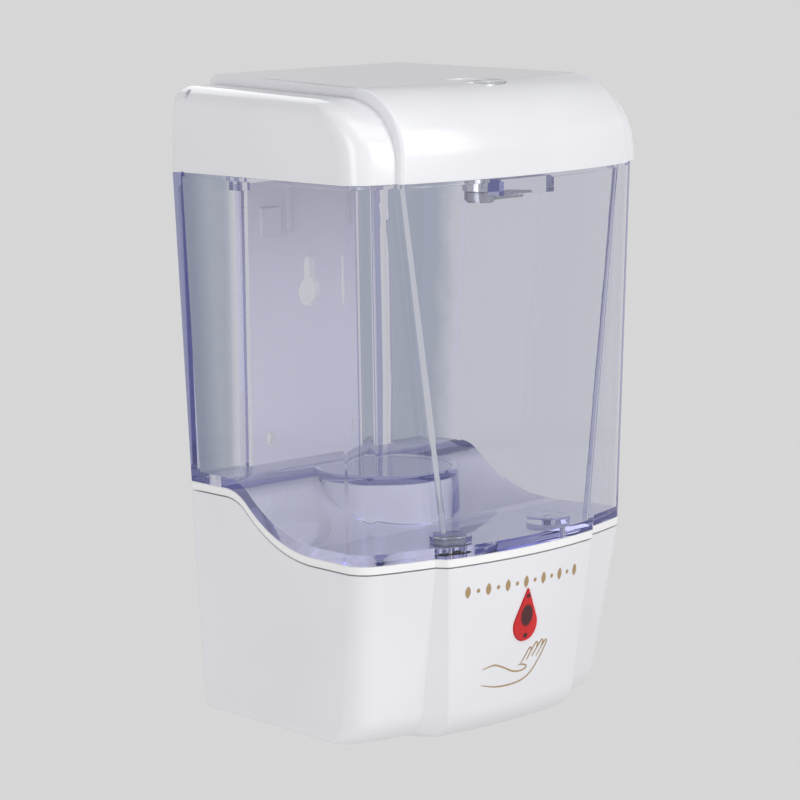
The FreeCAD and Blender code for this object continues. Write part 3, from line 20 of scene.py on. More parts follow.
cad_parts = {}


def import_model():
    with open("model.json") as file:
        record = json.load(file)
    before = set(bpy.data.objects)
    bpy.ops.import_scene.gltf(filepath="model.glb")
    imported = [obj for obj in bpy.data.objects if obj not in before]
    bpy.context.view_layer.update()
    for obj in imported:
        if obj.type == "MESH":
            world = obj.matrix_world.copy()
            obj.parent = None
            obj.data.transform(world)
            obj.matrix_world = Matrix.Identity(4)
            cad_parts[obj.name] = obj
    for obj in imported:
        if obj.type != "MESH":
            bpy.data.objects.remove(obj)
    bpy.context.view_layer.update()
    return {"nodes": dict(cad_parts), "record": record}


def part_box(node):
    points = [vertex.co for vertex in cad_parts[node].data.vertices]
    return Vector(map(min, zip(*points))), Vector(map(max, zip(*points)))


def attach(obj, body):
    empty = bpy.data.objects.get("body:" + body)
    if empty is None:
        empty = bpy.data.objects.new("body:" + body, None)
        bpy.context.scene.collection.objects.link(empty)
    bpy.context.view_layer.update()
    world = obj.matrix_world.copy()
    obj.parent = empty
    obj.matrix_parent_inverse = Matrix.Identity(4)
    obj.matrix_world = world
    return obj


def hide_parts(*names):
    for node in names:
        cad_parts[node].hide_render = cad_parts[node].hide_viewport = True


LOG = logging.getLogger("dispenser")
MM = 0.001
WELD = 0.002 * MM           # corners nearer than this are one
CLOUD_LOW, CLOUD_HIGH = 0.35, 0.65      # where soft clouds go from one shade to the next
NORMAL_WEIGHT = 60          # how far large faces lead the shading of small ones
CELL_COUNT = 4
ROLLER_COUNT = 3

Colour = tuple[float, float, float, float]


def linear(code: str) -> Colour:
    """Turn an sRGB hex colour into a linear one.

    Args:
        code: six hex digits, such as "e8353a".

    Returns:
        Linear red, green, blue and an alpha of one.
    """
    parts = [int(code[i:i + 2], 16) / 255 for i in (0, 2, 4)]
    turned = [p / 12.92 if p <= 0.04045 else ((p + 0.055) / 1.055) ** 2.4 for p in parts]
    return (turned[0], turned[1], turned[2], 1.0)


def add_node(tree: bpy.types.NodeTree, kind: str, settings: Optional[dict[str, Any]] = None,
             links: Optional[dict[Any, bpy.types.NodeSocket]] = None) -> bpy.types.Node:
    """Add one shader node.

    Args:
        tree: the material's node tree.
        kind: the node's type name.
        settings: values by name, for the node's own properties or for its input sockets.
        links: sockets to link in, by input name or number.

    Returns:
        The new node.
    """
    made = tree.nodes.new(kind)
    for name, value in (settings or {}).items():
        if isinstance(name, str) and hasattr(made, name):
            setattr(made, name, value)
        else:
            made.inputs[name].default_value = value
    for name, socket in (links or {}).items():
        tree.links.new(socket, made.inputs[name])
    return made


def per_metre(size_mm: float) -> float:
    """Texture scale that repeats once in a size in millimetres."""
    return 1.0 / (size_mm * MM)


def ramp_stops(ramp: bpy.types.Node, stops: Sequence[tuple[float, Colour]]) -> bpy.types.NodeSocket:
    """Set a colour ramp's stops and return its colour output.

    Args:
        ramp: the colour ramp node.
        stops: places from 0 to 1 and their linear colours.

    Returns:
        The ramp's colour socket.
    """
    band = ramp.color_ramp
    while len(band.elements) > len(stops):
        band.elements.remove(band.elements[-1])
    while len(band.elements) < len(stops):
        band.elements.new(1.0)
    for element, (place, colour) in zip(band.elements, stops):
        element.position = place
        element.color = colour
    return ramp.outputs["Color"]


# ------------------------------------------------------------------------------- finishes
@dataclass(frozen=True)
class Finish:
    """A finish: what a part is made of and how its surface was made."""

    name: str

    def material(self) -> bpy.types.Material:
        """Return the finish's material, made once.

        Returns:
            The material, the same one at every call.
        """
        found = bpy.data.materials.get(self.name)
        if found:
            return found
        made = bpy.data.materials.new(self.name)
        made.use_nodes = True
        made.node_tree.nodes.clear()
        output = made.node_tree.nodes.new("ShaderNodeOutputMaterial")
        self.shade(made.node_tree, output)
        return made

    def shade(self, tree: bpy.types.NodeTree, output: bpy.types.Node) -> None:
        """Build the shader behind the output.

        Args:
            tree: the material's node tree.
            output: its output node.
        """
        raise NotImplementedError


@dataclass(frozen=True)
class MouldedPlastic(Finish):
    """Injection-moulded plastic: even colour, a faint flow shade and a fine skin texture."""

    colour: str = "ececf0"
    shade_colour: str = "e7e7eb"
    roughness: float = 0.2
    roughness_spread: float = 0.05
    ior: float = 1.53
    grain_mm: float = 1.6
    grain_depth: float = 0.02
    grain_rise_mm: float = 0.2
    edge_mm: float = 0.35
    flow_mm: float = 60.0

    def colour_socket(self, tree: bpy.types.NodeTree, place: bpy.types.NodeSocket) -> bpy.types.NodeSocket:
        """Return the colour: two close shades in soft clouds, as melt cools unevenly.

        Args:
            tree: the material's node tree.
            place: socket with the place in the part.

        Returns:
            The socket that gives the colour.
        """
        flow = add_node(tree, "ShaderNodeTexNoise", {"Scale": per_metre(self.flow_mm), "Detail": 2.0},
                        {"Vector": place})
        ramp = add_node(tree, "ShaderNodeValToRGB", {}, {"Fac": flow.outputs["Fac"]})
        return ramp_stops(ramp, [(CLOUD_LOW, linear(self.shade_colour)),
                                 (CLOUD_HIGH, linear(self.colour))])

    def shade(self, tree: bpy.types.NodeTree, output: bpy.types.Node) -> None:
        """Build the shader: colour, uneven gloss, and bump over a softened edge.

        Args:
            tree: the material's node tree.
            output: its output node.
        """
        place = add_node(tree, "ShaderNodeTexCoord").outputs["Object"]
        grain = add_node(tree, "ShaderNodeTexNoise", {"Scale": per_metre(self.grain_mm), "Detail": 3.0},
                         {"Vector": place})
        gloss = add_node(tree, "ShaderNodeMapRange",
                         {"To Min": self.roughness - self.roughness_spread,
                          "To Max": self.roughness + self.roughness_spread},
                         {"Value": grain.outputs["Fac"]})
        edge = add_node(tree, "ShaderNodeBevel", {"samples": 4, "Radius": self.edge_mm * MM})
        bump = add_node(tree, "ShaderNodeBump",
                        {"Strength": self.grain_depth, "Distance": self.grain_rise_mm * MM},
                        {"Height": grain.outputs["Fac"], "Normal": edge.outputs["Normal"]})
        shader = add_node(tree, "ShaderNodeBsdfPrincipled", {"IOR": self.ior},
                          {"Base Color": self.colour_socket(tree, place),
                           "Roughness": gloss.outputs["Result"], "Normal": bump.outputs["Normal"]})
        tree.links.new(shader.outputs["BSDF"], output.inputs["Surface"])


@dataclass(frozen=True)
class LidAbs(MouldedPlastic):
    """The lid's ABS: the same gloss white, with painted shade making its level top a shade greyer."""

    # painted shade: the grey laid on the lid's level top
    top_painted_shade: str = "d3d3d8"
    level_from: float = 0.985
    level_to: float = 0.998

    def colour_socket(self, tree: bpy.types.NodeTree, place: bpy.types.NodeSocket) -> bpy.types.NodeSocket:
        """Return the colour, greyer where the surface is level: painted shade on the lid's top.

        Args:
            tree: the material's node tree.
            place: socket with the place in the part.

        Returns:
            The socket that gives the colour.
        """
        plain = super().colour_socket(tree, place)
        normal = add_node(tree, "ShaderNodeNewGeometry").outputs["Normal"]
        upright = add_node(tree, "ShaderNodeSeparateXYZ", {}, {"Vector": normal}).outputs["Z"]
        level = add_node(tree, "ShaderNodeMapRange", {"From Min": self.level_from, "From Max": self.level_to},
                         {"Value": upright})
        mixed = add_node(tree, "ShaderNodeMix", {"data_type": "RGBA"},
                         {0: level.outputs["Result"], 6: plain})
        # painted shade: level faces take the greyer top colour
        mixed.inputs[7].default_value = linear(self.top_painted_shade)
        return mixed.outputs[2]


@dataclass(frozen=True)
class ClearSan(Finish):
    """Clear SAN, moulded: polished, almost clear in front, with painted shade tinting the rear's sides
    blue-grey.

    The recess behind the tank lets the white plate show, so it stays light there.
    """

    front_tint: str = "f1f2f7"
    recess_tint: str = "fafafb"
    # painted shade: blue-grey laid on the rear's sides
    rear_painted_shade: str = "c6ccd8"
    lamp_tint: str = "fafafd"
    trapped_tint: str = "c3c4e2"
    trapped_after: float = 4.0
    recess_half_mm: float = 31.0
    recess_blend_mm: float = 3.0
    rear_starts_mm: float = -16.0
    rear_full_mm: float = -7.0
    ior: float = 1.5
    roughness: float = 0.012
    depth_colour: str = "a9a8dc"
    density: float = 6.5
    ripple_mm: float = 60.0
    ripple_depth: float = 0.015
    ripple_rise_mm: float = 1.0

    def tint(self, tree: bpy.types.NodeTree, place: bpy.types.NodeSocket) -> bpy.types.NodeSocket:
        """Return the tint: clear in front, light in the recess, and painted shade, blue-grey, at the rear's
        sides.

        Args:
            tree: the material's node tree.
            place: socket with the place in the part.

        Returns:
            The socket that gives the tint.
        """
        parts = add_node(tree, "ShaderNodeSeparateXYZ", {}, {"Vector": place})
        rear = add_node(tree, "ShaderNodeMapRange",
                        {"From Min": self.rear_starts_mm * MM, "From Max": self.rear_full_mm * MM},
                        {"Value": parts.outputs["Y"]})
        out = add_node(tree, "ShaderNodeMath", {"operation": "ABSOLUTE"}, {0: parts.outputs["X"]})
        blend_to = self.recess_half_mm + self.recess_blend_mm
        side = add_node(tree, "ShaderNodeMapRange",
                        {"From Min": self.recess_half_mm * MM, "From Max": blend_to * MM},
                        {"Value": out.outputs[0]})
        behind = add_node(tree, "ShaderNodeMix", {"data_type": "RGBA"}, {0: side.outputs["Result"]})
        behind.inputs[6].default_value = linear(self.recess_tint)
        # painted shade: the rear's sides take the blue-grey
        behind.inputs[7].default_value = linear(self.rear_painted_shade)
        tint = add_node(tree, "ShaderNodeMix", {"data_type": "RGBA"},
                        {0: rear.outputs["Result"], 7: behind.outputs[2]})
        tint.inputs[6].default_value = linear(self.front_tint)
        return tint.outputs[2]

    def shade(self, tree: bpy.types.NodeTree, output: bpy.types.Node) -> None:
        """Build the shader: glass that lets lamps through, tinted by place, with painted shade at the rear,
        and by depth.

        Args:
            tree: the material's node tree.
            output: its output node.
        """
        place = add_node(tree, "ShaderNodeTexCoord").outputs["Object"]
        tint = self.tint(tree, place)
        ripple = add_node(tree, "ShaderNodeTexNoise", {"Scale": per_metre(self.ripple_mm), "Detail": 1.0},
                          {"Vector": place})
        bump = add_node(tree, "ShaderNodeBump",
                        {"Strength": self.ripple_depth, "Distance": self.ripple_rise_mm * MM},
                        {"Height": ripple.outputs["Fac"]})
        clear = add_node(tree, "ShaderNodeBsdfPrincipled",
                         {"IOR": self.ior, "Roughness": self.roughness, "Transmission Weight": 1.0},
                         {"Base Color": tint, "Normal": bump.outputs["Normal"]})
        passing = add_node(tree, "ShaderNodeBsdfTransparent", {"Color": linear(self.lamp_tint)})
        trapped = add_node(tree, "ShaderNodeBsdfTransparent", {"Color": linear(self.trapped_tint)})
        ray = add_node(tree, "ShaderNodeLightPath")
        deep = add_node(tree, "ShaderNodeMath", {"operation": "GREATER_THAN"}, {0: ray.outputs["Ray Depth"]})
        deep.inputs[1].default_value = self.trapped_after
        running = add_node(tree, "ShaderNodeMixShader", {},
                           {0: deep.outputs[0], 1: clear.outputs["BSDF"], 2: trapped.outputs["BSDF"]})
        either = add_node(tree, "ShaderNodeMath", {"operation": "MAXIMUM"},
                          {0: ray.outputs["Is Shadow Ray"], 1: ray.outputs["Is Diffuse Ray"]})
        mixed = add_node(tree, "ShaderNodeMixShader", {},
                         {0: either.outputs[0], 1: running.outputs["Shader"], 2: passing.outputs["BSDF"]})
        tree.links.new(mixed.outputs["Shader"], output.inputs["Surface"])
        volume = add_node(tree, "ShaderNodeVolumeAbsorption",
                          {"Color": linear(self.depth_colour), "Density": self.density})
        tree.links.new(volume.outputs["Volume"], output.inputs["Volume"])


@dataclass(frozen=True)
class TintedClear(Finish):
    """Coloured clear plastic, such as a signal window or an infrared lens."""

    colour: str = "e8353a"
    transmission: float = 0.6
    roughness: float = 0.06
    ior: float = 1.49
    ripple_mm: float = 5.0
    ripple_depth: float = 0.15
    ripple_rise_mm: float = 0.3
    deep_share: float = 0.85

    def colour_socket(self, tree: bpy.types.NodeTree, place: bpy.types.NodeSocket) -> bpy.types.NodeSocket:
        """Return the colour: a shade deeper in slow clouds, as dye spreads in the melt.

        Args:
            tree: the material's node tree.
            place: socket with the place in the part.

        Returns:
            The socket that gives the colour.
        """
        cloud = add_node(tree, "ShaderNodeTexNoise", {"Scale": per_metre(self.ripple_mm * 2), "Detail": 1.0},
                         {"Vector": place})
        ramp = add_node(tree, "ShaderNodeValToRGB", {}, {"Fac": cloud.outputs["Fac"]})
        full = linear(self.colour)
        deep = (full[0] * self.deep_share, full[1] * self.deep_share, full[2] * self.deep_share, 1.0)
        return ramp_stops(ramp, [(CLOUD_LOW, deep), (CLOUD_HIGH, full)])

    def shade(self, tree: bpy.types.NodeTree, output: bpy.types.Node) -> None:
        """Build the shader: deep colour with a polished, faintly rippled face.

        Args:
            tree: the material's node tree.
            output: its output node.
        """
        place = add_node(tree, "ShaderNodeTexCoord").outputs["Object"]
        ripple = add_node(tree, "ShaderNodeTexNoise", {"Scale": per_metre(self.ripple_mm), "Detail": 1.0},
                          {"Vector": place})
        bump = add_node(tree, "ShaderNodeBump",
                        {"Strength": self.ripple_depth, "Distance": self.ripple_rise_mm * MM},
                        {"Height": ripple.outputs["Fac"]})
        clear = add_node(tree, "ShaderNodeBsdfPrincipled",
                         {"IOR": self.ior, "Roughness": self.roughness,
                          "Transmission Weight": self.transmission},
                         {"Base Color": self.colour_socket(tree, place), "Normal": bump.outputs["Normal"]})
        passing = add_node(tree, "ShaderNodeBsdfTransparent", {"Color": linear(self.colour)})
        ray = add_node(tree, "ShaderNodeLightPath")
        mixed = add_node(tree, "ShaderNodeMixShader", {},
                         {0: ray.outputs["Is Shadow Ray"], 1: clear.outputs["BSDF"],
                          2: passing.outputs["BSDF"]})
        tree.links.new(mixed.outputs["Shader"], output.inputs["Surface"])


@dataclass(frozen=True)
class SignalWindow(TintedClear):
    """Red window with the dark sensor eye and two moulded posts showing behind it.

    Each mark is its height above the frame's zero, its half width and its half height, in mm.
    """

    mark_colour: str = "4a1218"
    rim_out: float = 1.12       # a mark's soft rim, as shares of its half sizes
    rim_in: float = 0.86
    marks_mm: tuple[tuple[float, float, float], ...] = (
        (-102.8, 2.7, 3.5), (-96.6, 0.9, 0.7), (-109.2, 1.0, 0.8))

    def colour_socket(self, tree: bpy.types.NodeTree, place: bpy.types.NodeSocket) -> bpy.types.NodeSocket:
        """Return the colour: red, darker at each mark with a soft rim.

        Args:
            tree: the material's node tree.
            place: socket with the place in the part.

        Returns:
            The socket that gives the colour.
        """
        parts = add_node(tree, "ShaderNodeSeparateXYZ", {}, {"Vector": place})
        colour = super().colour_socket(tree, place)
        for height, half_x, half_z in self.marks_mm:
            spot = add_node(tree, "ShaderNodeCombineXYZ", {},
                            {"X": parts.outputs["X"], "Z": parts.outputs["Z"]})
            scaled = add_node(tree, "ShaderNodeMapping",
                              {"vector_type": "TEXTURE", "Location": (0.0, 0.0, height * MM),
                               "Scale": (half_x * MM, 1.0, half_z * MM)}, {"Vector": spot.outputs["Vector"]})
            reach = add_node(tree, "ShaderNodeVectorMath", {"operation": "LENGTH"},
                             {"Vector": scaled.outputs["Vector"]})
            inside = add_node(tree, "ShaderNodeMapRange",
                              {"From Min": self.rim_out, "From Max": self.rim_in},
                              {"Value": reach.outputs["Value"]})
            mixed = add_node(tree, "ShaderNodeMix", {"data_type": "RGBA"},
                             {0: inside.outputs["Result"], 6: colour})
            mixed.inputs[7].default_value = linear(self.mark_colour)
            colour = mixed.outputs[2]
        return colour


class Lay(Enum):
    """Which way a metal's tool marks run."""

    ALONG_Z = (40.0, 40.0, 1.0)
    EVEN = (1.0, 1.0, 1.0)


@dataclass(frozen=True)
class WorkedMetal(Finish):
    """Drawn, turned, pressed or plated metal with fine marks from its making."""

    colour: str = "b9bbbf"
    roughness: float = 0.3
    marks_mm: float = 4.0
    marks_depth: float = 0.05
    lay: Lay = Lay.EVEN
    polish: float = 0.7         # roughness on the smoothest marks, as a share
    drag: float = 1.3           # and on the roughest
    marks_rise_mm: float = 0.1
    edge_mm: float = 0.12

    def shade(self, tree: bpy.types.NodeTree, output: bpy.types.Node) -> None:
        """Build the shader: metal whose gloss and skin vary along its tool marks.

        Args:
            tree: the material's node tree.
            output: its output node.
        """
        place = add_node(tree, "ShaderNodeTexCoord").outputs["Object"]
        stretch = add_node(tree, "ShaderNodeMapping", {"Scale": self.lay.value}, {"Vector": place})
        marks = add_node(tree, "ShaderNodeTexNoise", {"Scale": per_metre(self.marks_mm), "Detail": 4.0},
                         {"Vector": stretch.outputs["Vector"]})
        gloss = add_node(tree, "ShaderNodeMapRange",
                         {"To Min": self.roughness * self.polish, "To Max": self.roughness * self.drag},
                         {"Value": marks.outputs["Fac"]})
        edge = add_node(tree, "ShaderNodeBevel", {"samples": 4, "Radius": self.edge_mm * MM})
        bump = add_node(tree, "ShaderNodeBump",
                        {"Strength": self.marks_depth, "Distance": self.marks_rise_mm * MM},
                        {"Height": marks.outputs["Fac"], "Normal": edge.outputs["Normal"]})
        shader = add_node(tree, "ShaderNodeBsdfPrincipled",
                          {"Base Color": linear(self.colour), "Metallic": 1.0},
                          {"Roughness": gloss.outputs["Result"], "Normal": bump.outputs["Normal"]})
        tree.links.new(shader.outputs["BSDF"], output.inputs["Surface"])


@dataclass(frozen=True)
class SoftRubber(Finish):
    """Silicone or rubber: dull skin, light soaking in where it is pale."""

    colour: str = "dededa"
    depth_mm: float = 1.5
    soak: float = 0.4
    roughness: float = 0.45
    roughness_spread: float = 0.08
    bloom_mm: float = 0.8
    ior: float = 1.43

    def shade(self, tree: bpy.types.NodeTree, output: bpy.types.Node) -> None:
        """Build the shader: soft colour with a fine bloom.

        Args:
            tree: the material's node tree.
            output: its output node.
        """
        place = add_node(tree, "ShaderNodeTexCoord").outputs["Object"]
        bloom = add_node(tree, "ShaderNodeTexNoise", {"Scale": per_metre(self.bloom_mm), "Detail": 3.0},
                         {"Vector": place})
        gloss = add_node(tree, "ShaderNodeMapRange",
                         {"To Min": self.roughness - self.roughness_spread,
                          "To Max": self.roughness + self.roughness_spread},
                         {"Value": bloom.outputs["Fac"]})
        shader = add_node(tree, "ShaderNodeBsdfPrincipled",
                          {"Base Color": linear(self.colour), "Subsurface Weight": self.soak,
                           "Subsurface Scale": self.depth_mm * MM, "IOR": self.ior},
                          {"Roughness": gloss.outputs["Result"]})
        tree.links.new(shader.outputs["BSDF"], output.inputs["Surface"])


@dataclass(frozen=True)
class SolderMask(Finish):
    """Circuit board: green lacquer over a pattern of copper tracks."""

    colour: str = "14562c"
    track_colour: str = "1d7440"
    track_mm: float = 1.3
    track_edge: tuple[float, float] = (0.10, 0.14)
    track_depth: float = 0.25
    track_rise_mm: float = 0.05
    gloss: float = 0.28
    ior: float = 1.5

    def shade(self, tree: bpy.types.NodeTree, output: bpy.types.Node) -> None:
        """Build the shader: tracks stand a little proud under the lacquer.

        Args:
            tree: the material's node tree.
            output: its output node.
        """
        place = add_node(tree, "ShaderNodeTexCoord").outputs["Object"]
        cells = add_node(tree, "ShaderNodeTexVoronoi",
                         {"feature": "DISTANCE_TO_EDGE", "distance": "EUCLIDEAN",
                          "Scale": per_metre(self.track_mm * 2), "Randomness": 0.35}, {"Vector": place})
        ramp = add_node(tree, "ShaderNodeValToRGB", {}, {"Fac": cells.outputs["Distance"]})
        inner, outer = self.track_edge
        colour = ramp_stops(ramp, [(inner, linear(self.track_colour)), (outer, linear(self.colour))])
        bump = add_node(tree, "ShaderNodeBump",
                        {"Strength": self.track_depth, "Distance": self.track_rise_mm * MM},
                        {"Height": ramp.outputs["Alpha"]})
        shader = add_node(tree, "ShaderNodeBsdfPrincipled", {"Roughness": self.gloss, "IOR": self.ior},
                          {"Base Color": colour, "Normal": bump.outputs["Normal"]})
        tree.links.new(shader.outputs["BSDF"], output.inputs["Surface"])


@dataclass(frozen=True)
class CellJacket(Finish):
    """Shrink-on jacket of an alkaline cell: copper end and black body."""

    body_colour: str = "17181b"
    band_colour: str = "b8783c"
    half_length_mm: float = 27.0
    band_share: float = 0.3
    metallic: float = 0.35
    roughness: float = 0.3

    def shade(self, tree: bpy.types.NodeTree, output: bpy.types.Node) -> None:
        """Build the shader: bands along the cell, by its length.

        Args:
            tree: the material's node tree.
            output: its output node.
        """
        place = add_node(tree, "ShaderNodeTexCoord").outputs["Object"]
        along = add_node(tree, "ShaderNodeSeparateXYZ", {}, {"Vector": place}).outputs["X"]
        half = self.half_length_mm * MM
        share = add_node(tree, "ShaderNodeMapRange", {"From Min": -half, "From Max": half}, {"Value": along})
        ramp = add_node(tree, "ShaderNodeValToRGB", {}, {"Fac": share.outputs["Result"]})
        ramp.color_ramp.interpolation = "CONSTANT"
        copper, black = linear(self.band_colour), linear(self.body_colour)
        colour = ramp_stops(ramp, [(0.0, copper), (self.band_share, black)])
        shader = add_node(tree, "ShaderNodeBsdfPrincipled",
                          {"Metallic": self.metallic, "Roughness": self.roughness}, {"Base Color": colour})
        tree.links.new(shader.outputs["BSDF"], output.inputs["Surface"])


# ABS moulded in a polished tool: a soft gloss and wide, clear highlights
WHITE_ABS = MouldedPlastic("gloss_white_abs")
LID_ABS = LidAbs("gloss_white_abs_lid")
# ABS from a finely sparked tool: satin, so highlights spread and fade
PLATE_ABS = MouldedPlastic("satin_white_abs", colour="f7f6f6", shade_colour="f2f1f2", roughness=0.42,
                           grain_mm=0.8, grain_depth=0.08)
DOOR_ABS = MouldedPlastic("satin_white_door", colour="efeff0", shade_colour="e8e8ea", roughness=0.3)
# moulded parts inside and below: dull skins that show little but their edges
BLACK_ABS = MouldedPlastic("moulded_black_abs", colour="1c1c1e", shade_colour="151517", roughness=0.4)
GREY_POM = MouldedPlastic("moulded_grey_pom", colour="8d9196", shade_colour="83878c", roughness=0.4)
NATURAL_NYLON = MouldedPlastic("natural_nylon", colour="e6e2d2", shade_colour="dcd7c4", roughness=0.38)
# drawn PVC sleeves: even colour and a long, narrow shine
RED_WIRE = MouldedPlastic("red_pvc_insulation", colour="b3201c", shade_colour="a41b18", roughness=0.35)
BLACK_WIRE = MouldedPlastic("black_pvc_insulation", colour="1a1a1a", shade_colour="141414", roughness=0.35)
CHIP_EPOXY = MouldedPlastic("moulded_epoxy", colour="202124", shade_colour="1a1b1d", roughness=0.5)
# clear plastics from polished tools: mirror-like faces and deep colour at the edges
CLEAR_TANK = ClearSan("clear_san")
RED_WINDOW = SignalWindow("red_pmma", colour="e0181f", transmission=0.08)
DARK_LENS = TintedClear("infrared_polycarbonate", colour="1d0d12", transmission=0.2)
LED_EPOXY = TintedClear("clear_led_epoxy", colour="f4f2ea", transmission=0.7)
# metals: bright plating, marks along the drawn or rolled way, fine rings where turned
PLATED_ZINC = WorkedMetal("plated_zinc", colour="d6d7da", roughness=0.16)
DRAWN_STEEL = WorkedMetal("drawn_steel", colour="b4b6ba", roughness=0.26, lay=Lay.ALONG_Z)
PRESSED_STEEL = WorkedMetal("pressed_steel", colour="a9acb0", roughness=0.32, lay=Lay.ALONG_Z)
TURNED_BRASS = WorkedMetal("turned_brass", colour="d0a758", roughness=0.25)
NICKEL_STRIP = WorkedMetal("nickel_strip", colour="c8c2b2", roughness=0.22)
# foil pressed on hot: dull gold with a broken glint
GOLD_FOIL = WorkedMetal("hot_stamped_foil", colour="c9ac84", roughness=0.42, marks_mm=1.0)
# silicone and rubber: a dull bloom, and light that soaks in where the rubber is pale
SILICONE = SoftRubber("silicone_tube")
BLACK_RUBBER = SoftRubber("moulded_rubber", colour="1b1b1c", soak=0.0, roughness=0.6)
BOARD = SolderMask("solder_mask")
JACKET = CellJacket("cell_jacket")

NODE_FINISHES: dict[str, Finish] = {
    "outlet_seal": BLACK_RUBBER, "outlet_strainer": GREY_POM, "lock_barrel": PLATED_ZINC,
    "lock_cam": DRAWN_STEEL, "lock_clip": DRAWN_STEEL, "lid_hinge_pins": DRAWN_STEEL,
    "battery_bay": BLACK_ABS, "battery_contacts": NICKEL_STRIP, "battery_springs": NICKEL_STRIP,
    "battery_door_pin": DRAWN_STEEL, "output_gear": NATURAL_NYLON, "idler_gear": NATURAL_NYLON,
    "motor_pinion": TURNED_BRASS, "motor_shaft": DRAWN_STEEL, "motor_can": PRESSED_STEEL,
    "motor_cap": BLACK_ABS, "idler_pin": DRAWN_STEEL, "gearbox_housing": GREY_POM,
    "pump_housing": GREY_POM, "pump_cover": GREY_POM, "pump_tube": SILICONE, "pump_rotor": NATURAL_NYLON,
    "roller_pins": DRAWN_STEEL, "hose_connectors": NATURAL_NYLON, "inlet_hose": SILICONE,
    "outlet_hose": SILICONE, "nozzle": BLACK_ABS, "nozzle_valve": SILICONE, "sensor_lens": DARK_LENS,
    "sensor_module": BLACK_ABS, "switch_body": BLACK_ABS, "switch_slider": BLACK_ABS,
    "circuit_board": BOARD, "board_screws": DRAWN_STEEL, "board_chips": CHIP_EPOXY,
    "board_sockets": NATURAL_NYLON, "indicator_led": LED_EPOXY, "motor_wires": RED_WIRE,
    "battery_wires": BLACK_WIRE, "sensor_wires": BLACK_WIRE, "pump_screws": DRAWN_STEEL,
    "tank_screw": DRAWN_STEEL, "drop_window": RED_WINDOW, "battery_door": DOOR_ABS,
}


# ------------------------------------------------------------------------------- workshop
@dataclass
class Workshop:
    """What every sub-assembly needs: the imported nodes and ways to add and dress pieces."""

    nodes: dict[str, bpy.types.Object]
    bodies: dict[str, list[str]]
    slots: dict[str, str]

    def body_of(self, node: str) -> str:
        """Return the body that a node belongs to."""
        return next(body for body, members in self.bodies.items() if node in members)

    def dress(self, piece: bpy.types.Object, finish: Finish) -> None:
        """Give a piece one finish in every slot.

        Args:
            piece: the object to dress.
            finish: the finish it gets.
        """
        if not piece.data.materials:
            piece.data.materials.append(finish.material())
        for slot in piece.material_slots:
            slot.material = finish.material()

    def add(self, name: str, mesh: bpy.types.Mesh, node: str, finish: Finish,
            replaces: bool = True) -> bpy.types.Object:
        """Add a piece that rides with a node's body.

        Args:
            name: the piece's name.
            mesh: its finished mesh, in metres in the frame.
            node: the CAD node whose body it takes.
            finish: its finish.
            replaces: whether it stands for the node.

        Returns:
            The new object.
        """
        piece = bpy.data.objects.new(name, mesh)
        bpy.context.scene.collection.objects.link(piece)
        self.dress(piece, finish)
        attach(piece, self.body_of(node))
        if replaces:
            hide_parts(node)
        LOG.info("%s: %d faces, rides on %s", name, len(mesh.polygons), self.body_of(node))
        return piece

    def shell(self, name: str, node: str, finish: Finish, sharp_deg: float = 32.0) -> bpy.types.Object:
        """Rebuild a node as one welded shell whose curved faces shade smoothly.

        Args:
            name: the piece's name.
            node: the CAD node it stands for.
            finish: its finish.
            sharp_deg: edges that turn more than this stay crisp.

        Returns:
            The new object.
        """
        work = bmesh.new()
        work.from_mesh(self.nodes[node].data)
        bmesh.ops.remove_doubles(work, verts=work.verts[:], dist=WELD)
        bmesh.ops.dissolve_degenerate(work, dist=WELD, edges=work.edges[:])
        for face in work.faces:
            face.smooth = True
        limit = math.radians(sharp_deg)
        for edge in work.edges:
            edge.smooth = len(edge.link_faces) == 2 and edge.calc_face_angle(0.0) < limit
        mesh = bpy.data.meshes.new(name)
        work.to_mesh(mesh)
        work.free()
        piece = self.add(name, mesh, node, finish)
        even = piece.modifiers.new("even_normals", "WEIGHTED_NORMAL")
        even.keep_sharp = True
        even.weight = NORMAL_WEIGHT
        return piece


# ------------------------------------------------------------------------------- casing
@dataclass
class Casing:
    """White shells: lid, base, deck, door and wall plate."""

    shop: Workshop

    def build(self) -> None:
        """Rebuild each shell from its node."""
        self.shop.shell("lid_shell", "lid", LID_ABS)
        self.shop.shell("base_casing", "base_shell", WHITE_ABS)
        self.shop.shell("deck_plate", "deck_cover", PLATE_ABS)
        self.shop.shell("wall_bracket", "wall_plate", PLATE_ABS)
        self.shop.shell("cell_door", "battery_door", DOOR_ABS)


@dataclass
class ClearTank:
    """The clear tank."""

    shop: Workshop

    def build(self) -> None:
        """Rebuild the tank as one polished shell."""
        self.shop.shell("tank_shell", "tank", CLEAR_TANK)


